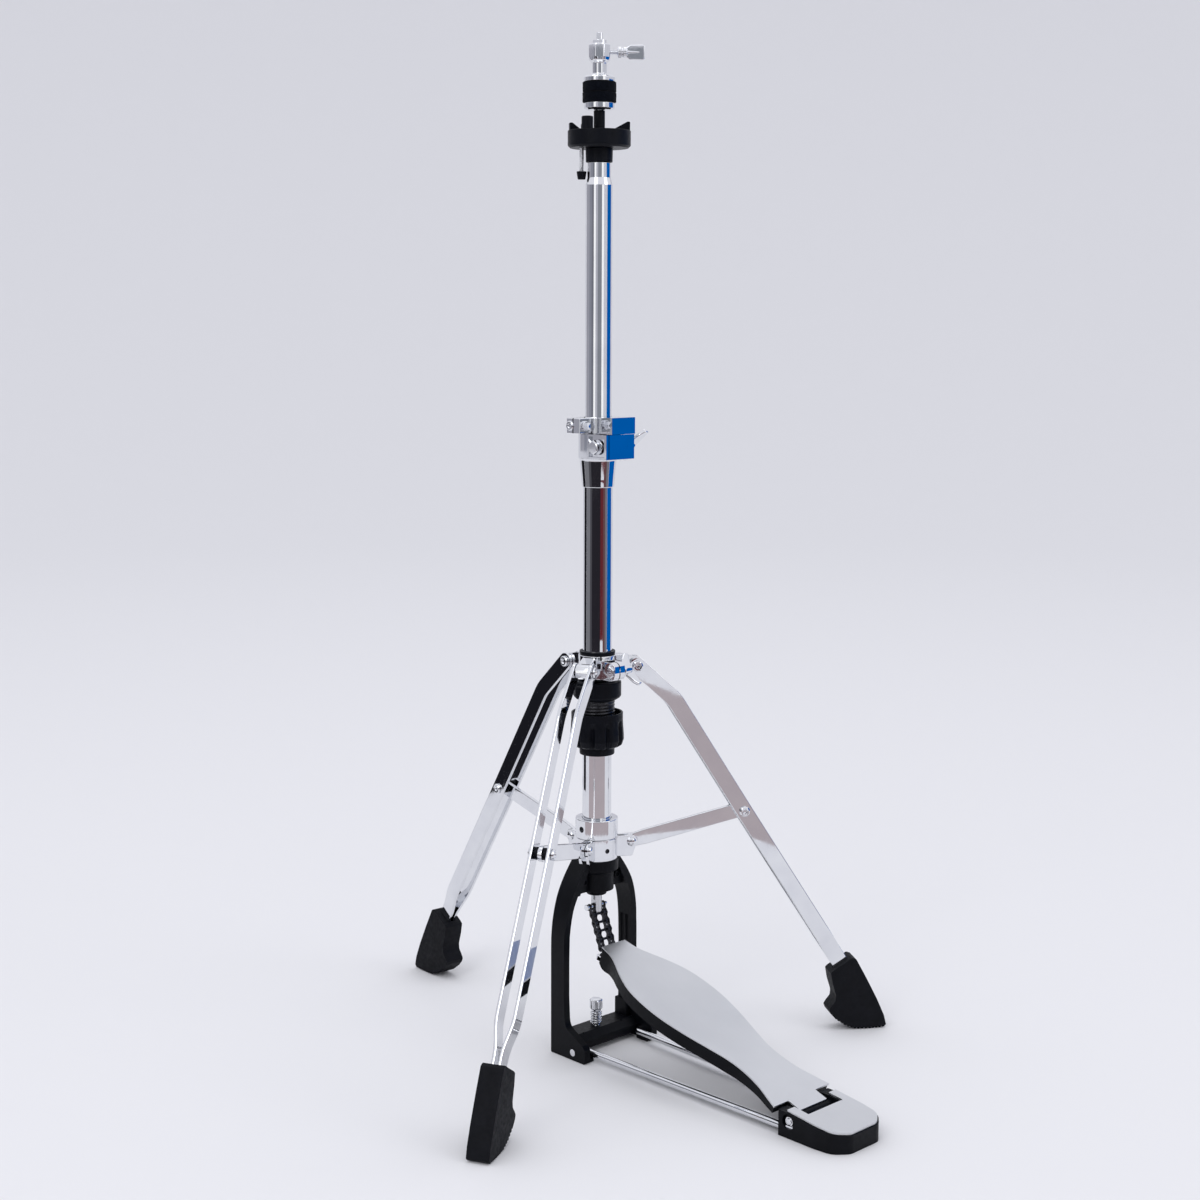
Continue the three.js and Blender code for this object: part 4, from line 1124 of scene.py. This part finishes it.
def toe_axes():
    cos, sin = math.cos(PEDAL_SLOPE), math.sin(PEDAL_SLOPE)
    return (0, -cos, -sin), (0, -sin, cos), (0, -TOE_OUT, TOE_Z)


def toe_clip(board):
    """bent steel strip under the toe with its thumb screw"""
    first, second, origin = toe_axes()
    profile = fillet([(16, -17.2), (-7.2, -17.2, 0.6), (-7.2, -22), (-8.9, -22), (-8.9, -15.4, 1.2),
            (16, -15.4)], 0.2)
    strip = slab(profile, (-9.5, 9.5), frame_of(first, second, origin), 0.3)
    axis = Vector(second) * -1
    centre = Vector(origin) + Vector(first) * 4 + Vector(second) * -17
    screw = solid_of([(0, 0), (3.4, 0), (3.4, 2.6), (0, 2.6)], 0.3, axis_at(centre, axis), 32)
    dress("toe_clip_bent", merge(strip, screw), "pedal", "chrome", "toe_clip")


# chain
def link_plate(place, low, high, x, thickness):
    """figure-of-eight side plate between two pins"""
    r, waist = 3.2, 2.0
    middle = (low + high) / 2
    outline = arc(0, low, r, -PI, 0, 12) + [(waist, middle)] + arc(0, high, r, 0, PI,
            12) + [(-waist, middle)]
    return slab(outline, (x - thickness / 2, x + thickness / 2), place)


def chain():
    pitch, count = 8.4, 5
    swing = Matrix.Translation((0, 0, 142)) @ Matrix.Rotation(-math.radians(22), 4, "X")
    place = swing @ frame_of((0, 1, 0), (0, 0, 1))
    for name, s in (("left", -1), ("right", 1)):
        parts = []
        for i in range(count):
            high, low = -i * pitch, -(i + 1) * pitch
            for x in ((5.2, 8.8) if i % 2 else (4.7, 9.3)):
                parts.append(link_plate(place, low, high, s * x, 0.6))
        for i in range(count + 1):
            z = -i * pitch
            inner = 4.9 if i < 1 else 0.3
            parts.append(rod(swing @ Vector((s * inner, 0, z)), swing @ Vector((s * 9.6, 0, z)), 1.3,
                    edge=0.2, steps=20))
            if i:
                parts.append(rod(swing @ Vector((s * 5.5, 0, z)), swing @ Vector((s * 8.5, 0, z)), 2.5,
                        edge=0.3, steps=24))
        dress(f"chain_links_{name}", merge(*parts), "chain", "black_steel", f"chain_strand_{name}")


# stage
def plain_material(name, color):
    material, _, bsdf = new_material(name)
    bsdf.inputs["Base Color"].default_value = (*color, 1)
    bsdf.inputs["Roughness"].default_value = 0.9
    bsdf.inputs["Specular IOR Level"].default_value = 0.1
    return material


def glow_material(name, color, strength):
    material = bpy.data.materials.new(name)
    material.use_nodes = True
    tree = material.node_tree
    tree.nodes.clear()
    glow = tree.nodes.new("ShaderNodeEmission")
    glow.inputs["Color"].default_value = (*color, 1)
    glow.inputs["Strength"].default_value = strength
    end = tree.nodes.new("ShaderNodeOutputMaterial")
    tree.links.new(glow.outputs["Emission"], end.inputs["Surface"])
    return material


def backdrop():
    """pale floor that curves up into a far low wall all round"""
    flat, far, top = 4200, 9000, 3400
    turns = [PI / 2 * k / 32 for k in range(33)]
    curve = [(flat + (far - flat) * math.sin(a), top * (1 - math.cos(a)) - 0.3) for a in turns]
    floor = lathe([(0.0, -0.3)] + curve, steps=96)
    floor.name = "floor_sweep"
    floor.data.materials.append(plain_material("floor_paper", (0.80, 0.80, 0.815)))
    floor.data.shade_smooth()


# the camera as fitted to the photo: degrees about the column, metres, millimetres of lens, degrees
CAMERA_BEARING = -133.65
CAMERA_DISTANCE, CAMERA_HEIGHT = 1.8526, 0.7229
CAMERA_LENS, CAMERA_ROLL = 57.945, -0.22
AIM_RIGHT, AIM_HEIGHT = 0.00236, 0.4483


def bearings(offset, span, distance):
    """points on a circle; offset is degrees to the right of the camera as seen from the column"""
    turns = [math.radians(CAMERA_BEARING + offset - span / 2 + span * k / 8) for k in range(9)]
    return [(distance * math.cos(a), distance * math.sin(a)) for a in turns]


def card(name, left, right, distance, low, high, color, strength=1.0):
    """upright glowing card between two bearings, a painted reflection seen only in polished surfaces"""
    points = bearings((left + right) / 2, right - left, distance)
    vertices = [(x, y, z) for x, y in points for z in (low, high)]
    piece = mesh_piece(vertices, [(a, a + 2, a + 3, a + 1) for a in range(0, 16, 2)])
    hide_from_view(piece, name, glow_material(name, color, strength))


def floor_card(name, offset, span, near, far, color):
    """glowing card lying on the floor, between two distances from the column, a painted reflection seen only
    in polished surfaces
    """
    outline = bearings(offset, span, near) + bearings(offset, span, far)[::-1]
    hide_from_view(slab(outline, (1, 2), Matrix()), name, glow_material(name, color, 1.0))


def hide_from_view(piece, name, material):
    """a card shows only in polished surfaces"""
    piece.name = name
    piece.data.materials.append(material)
    piece.visible_camera = False
    piece.visible_diffuse = False
    piece.visible_shadow = False


def cards():
    """painted reflections: glowing cards for what the chrome sees; the low ring feeds the lower tubes, the
    high ring the upper tube
    """
    card("card_blue", 77, 125, 1500, 60, 1100, (0.0, 0.112, 0.45))
    for name, left, right, low, color in (
            ("grey_left", -96, -62, 0, (0.20, 0.20, 0.22)), ("dim_left", -62, -46, 0, (0.08, 0.078, 0.09)),
            ("dark", -46, 20, 0, (0.022, 0.020, 0.026)), ("red", 20, 41, 90, (0.145, 0.026, 0.032)),
            ("brown", 41, 58, 0, (0.14, 0.07, 0.075)), ("grey", 58, 76, 0, (0.20, 0.195, 0.22))):
        card(f"card_low_{name}", left, right, 1900, low, 440, color)
    card("card_low_left", -127, -97, 1050, 0, 480, (0.012, 0.012, 0.016))
    for name, left, right, color, strength in (
            ("pale", -126, -88, (0.37, 0.37, 0.42), 1.0), ("grey", -88, -64, (0.27, 0.28, 0.33), 1.0),
            ("dim", -64, -44, (0.20, 0.205, 0.24), 1.0), ("white", -44, -27, (1.0, 1.0, 1.0), 1.15),
            ("mid", -27, -9, (0.53, 0.53, 0.59), 1.0), ("shade", -9, 26, (0.27, 0.285, 0.32), 1.0),
            ("line", 26, 44, (1.0, 1.0, 1.0), 1.15)):
        card(f"card_high_{name}", left, right, 2500, 420, 1300, color, strength)
    floor_card("card_rose_floor", 0, 130, 800, 1880, (0.49, 0.43, 0.455))


def lamp(name, location, target, size, energy, color=(1, 1, 1)):
    data = bpy.data.lights.new(name, "AREA")
    data.shape = "RECTANGLE"
    data.size, data.size_y = size
    data.energy = energy
    data.color = color
    light = bpy.data.objects.new(name, data)
    light.location = location
    aim = Vector(target) - Vector(location)
    light.rotation_euler = aim.to_track_quat("-Z", "Y").to_euler()
    bpy.context.scene.collection.objects.link(light)


def lighting():
    world = bpy.data.worlds.new("studio")
    world.use_nodes = True
    background = world.node_tree.nodes["Background"]
    background.inputs["Color"].default_value = (0.86, 0.868, 0.925, 1)
    background.inputs["Strength"].default_value = 1.0
    bpy.context.scene.world = world
    bpy.context.scene.view_settings.view_transform = "Standard"
    lamp("key", (-3.2, -1.0, 2.9), (0, 0, 0.5), (1.8, 1.8), 26)
    lamp("fill", (1.4, -3.4, 2.4), (0, 0, 0.5), (2.0, 2.0), 14)
    lamp("top", (0.3, 0.4, 4.2), (0, 0, 0.4), (2.5, 2.5), 16)


def camera():
    scene = bpy.context.scene
    data = bpy.data.cameras.new("camera")
    data.lens = CAMERA_LENS
    data.sensor_width = 36
    data.clip_end = 60
    view = bpy.data.objects.new("camera", data)
    scene.collection.objects.link(view)
    bearing = math.radians(CAMERA_BEARING)
    location = Vector((CAMERA_DISTANCE * math.cos(bearing), CAMERA_DISTANCE * math.sin(bearing),
            CAMERA_HEIGHT))
    right = Vector((-math.sin(bearing), math.cos(bearing), 0))
    target = right * AIM_RIGHT + Vector((0, 0, AIM_HEIGHT))
    direction = (target - location).normalized()
    up = Vector((0, 0, 1)) + right * math.tan(math.radians(CAMERA_ROLL))
    side = direction.cross(up).normalized()
    rise = side.cross(direction)
    turn = Matrix((side, rise, -direction)).transposed()
    view.matrix_world = Matrix.Translation(location) @ turn.to_4x4()
    scene.camera = view


# build
base_casting()
casting_details()
spur()
tubes()
stop_ring()
lower_hub()
tension_dial()
tension_unit()
tension_ring()
collar_wing_bolt()
clamp_wing_nut()
tripod_collar()
height_clamp()
memory_lock()
seat()
pull_rod()
clutch()
for leg_name, leg_degrees in LEG_ANGLES.items():
    leg(leg_name, leg_degrees)
    brace(leg_name, leg_degrees)
frame_rods()
heel()
footboard()
chain()
backdrop()
cards()
lighting()
camera()
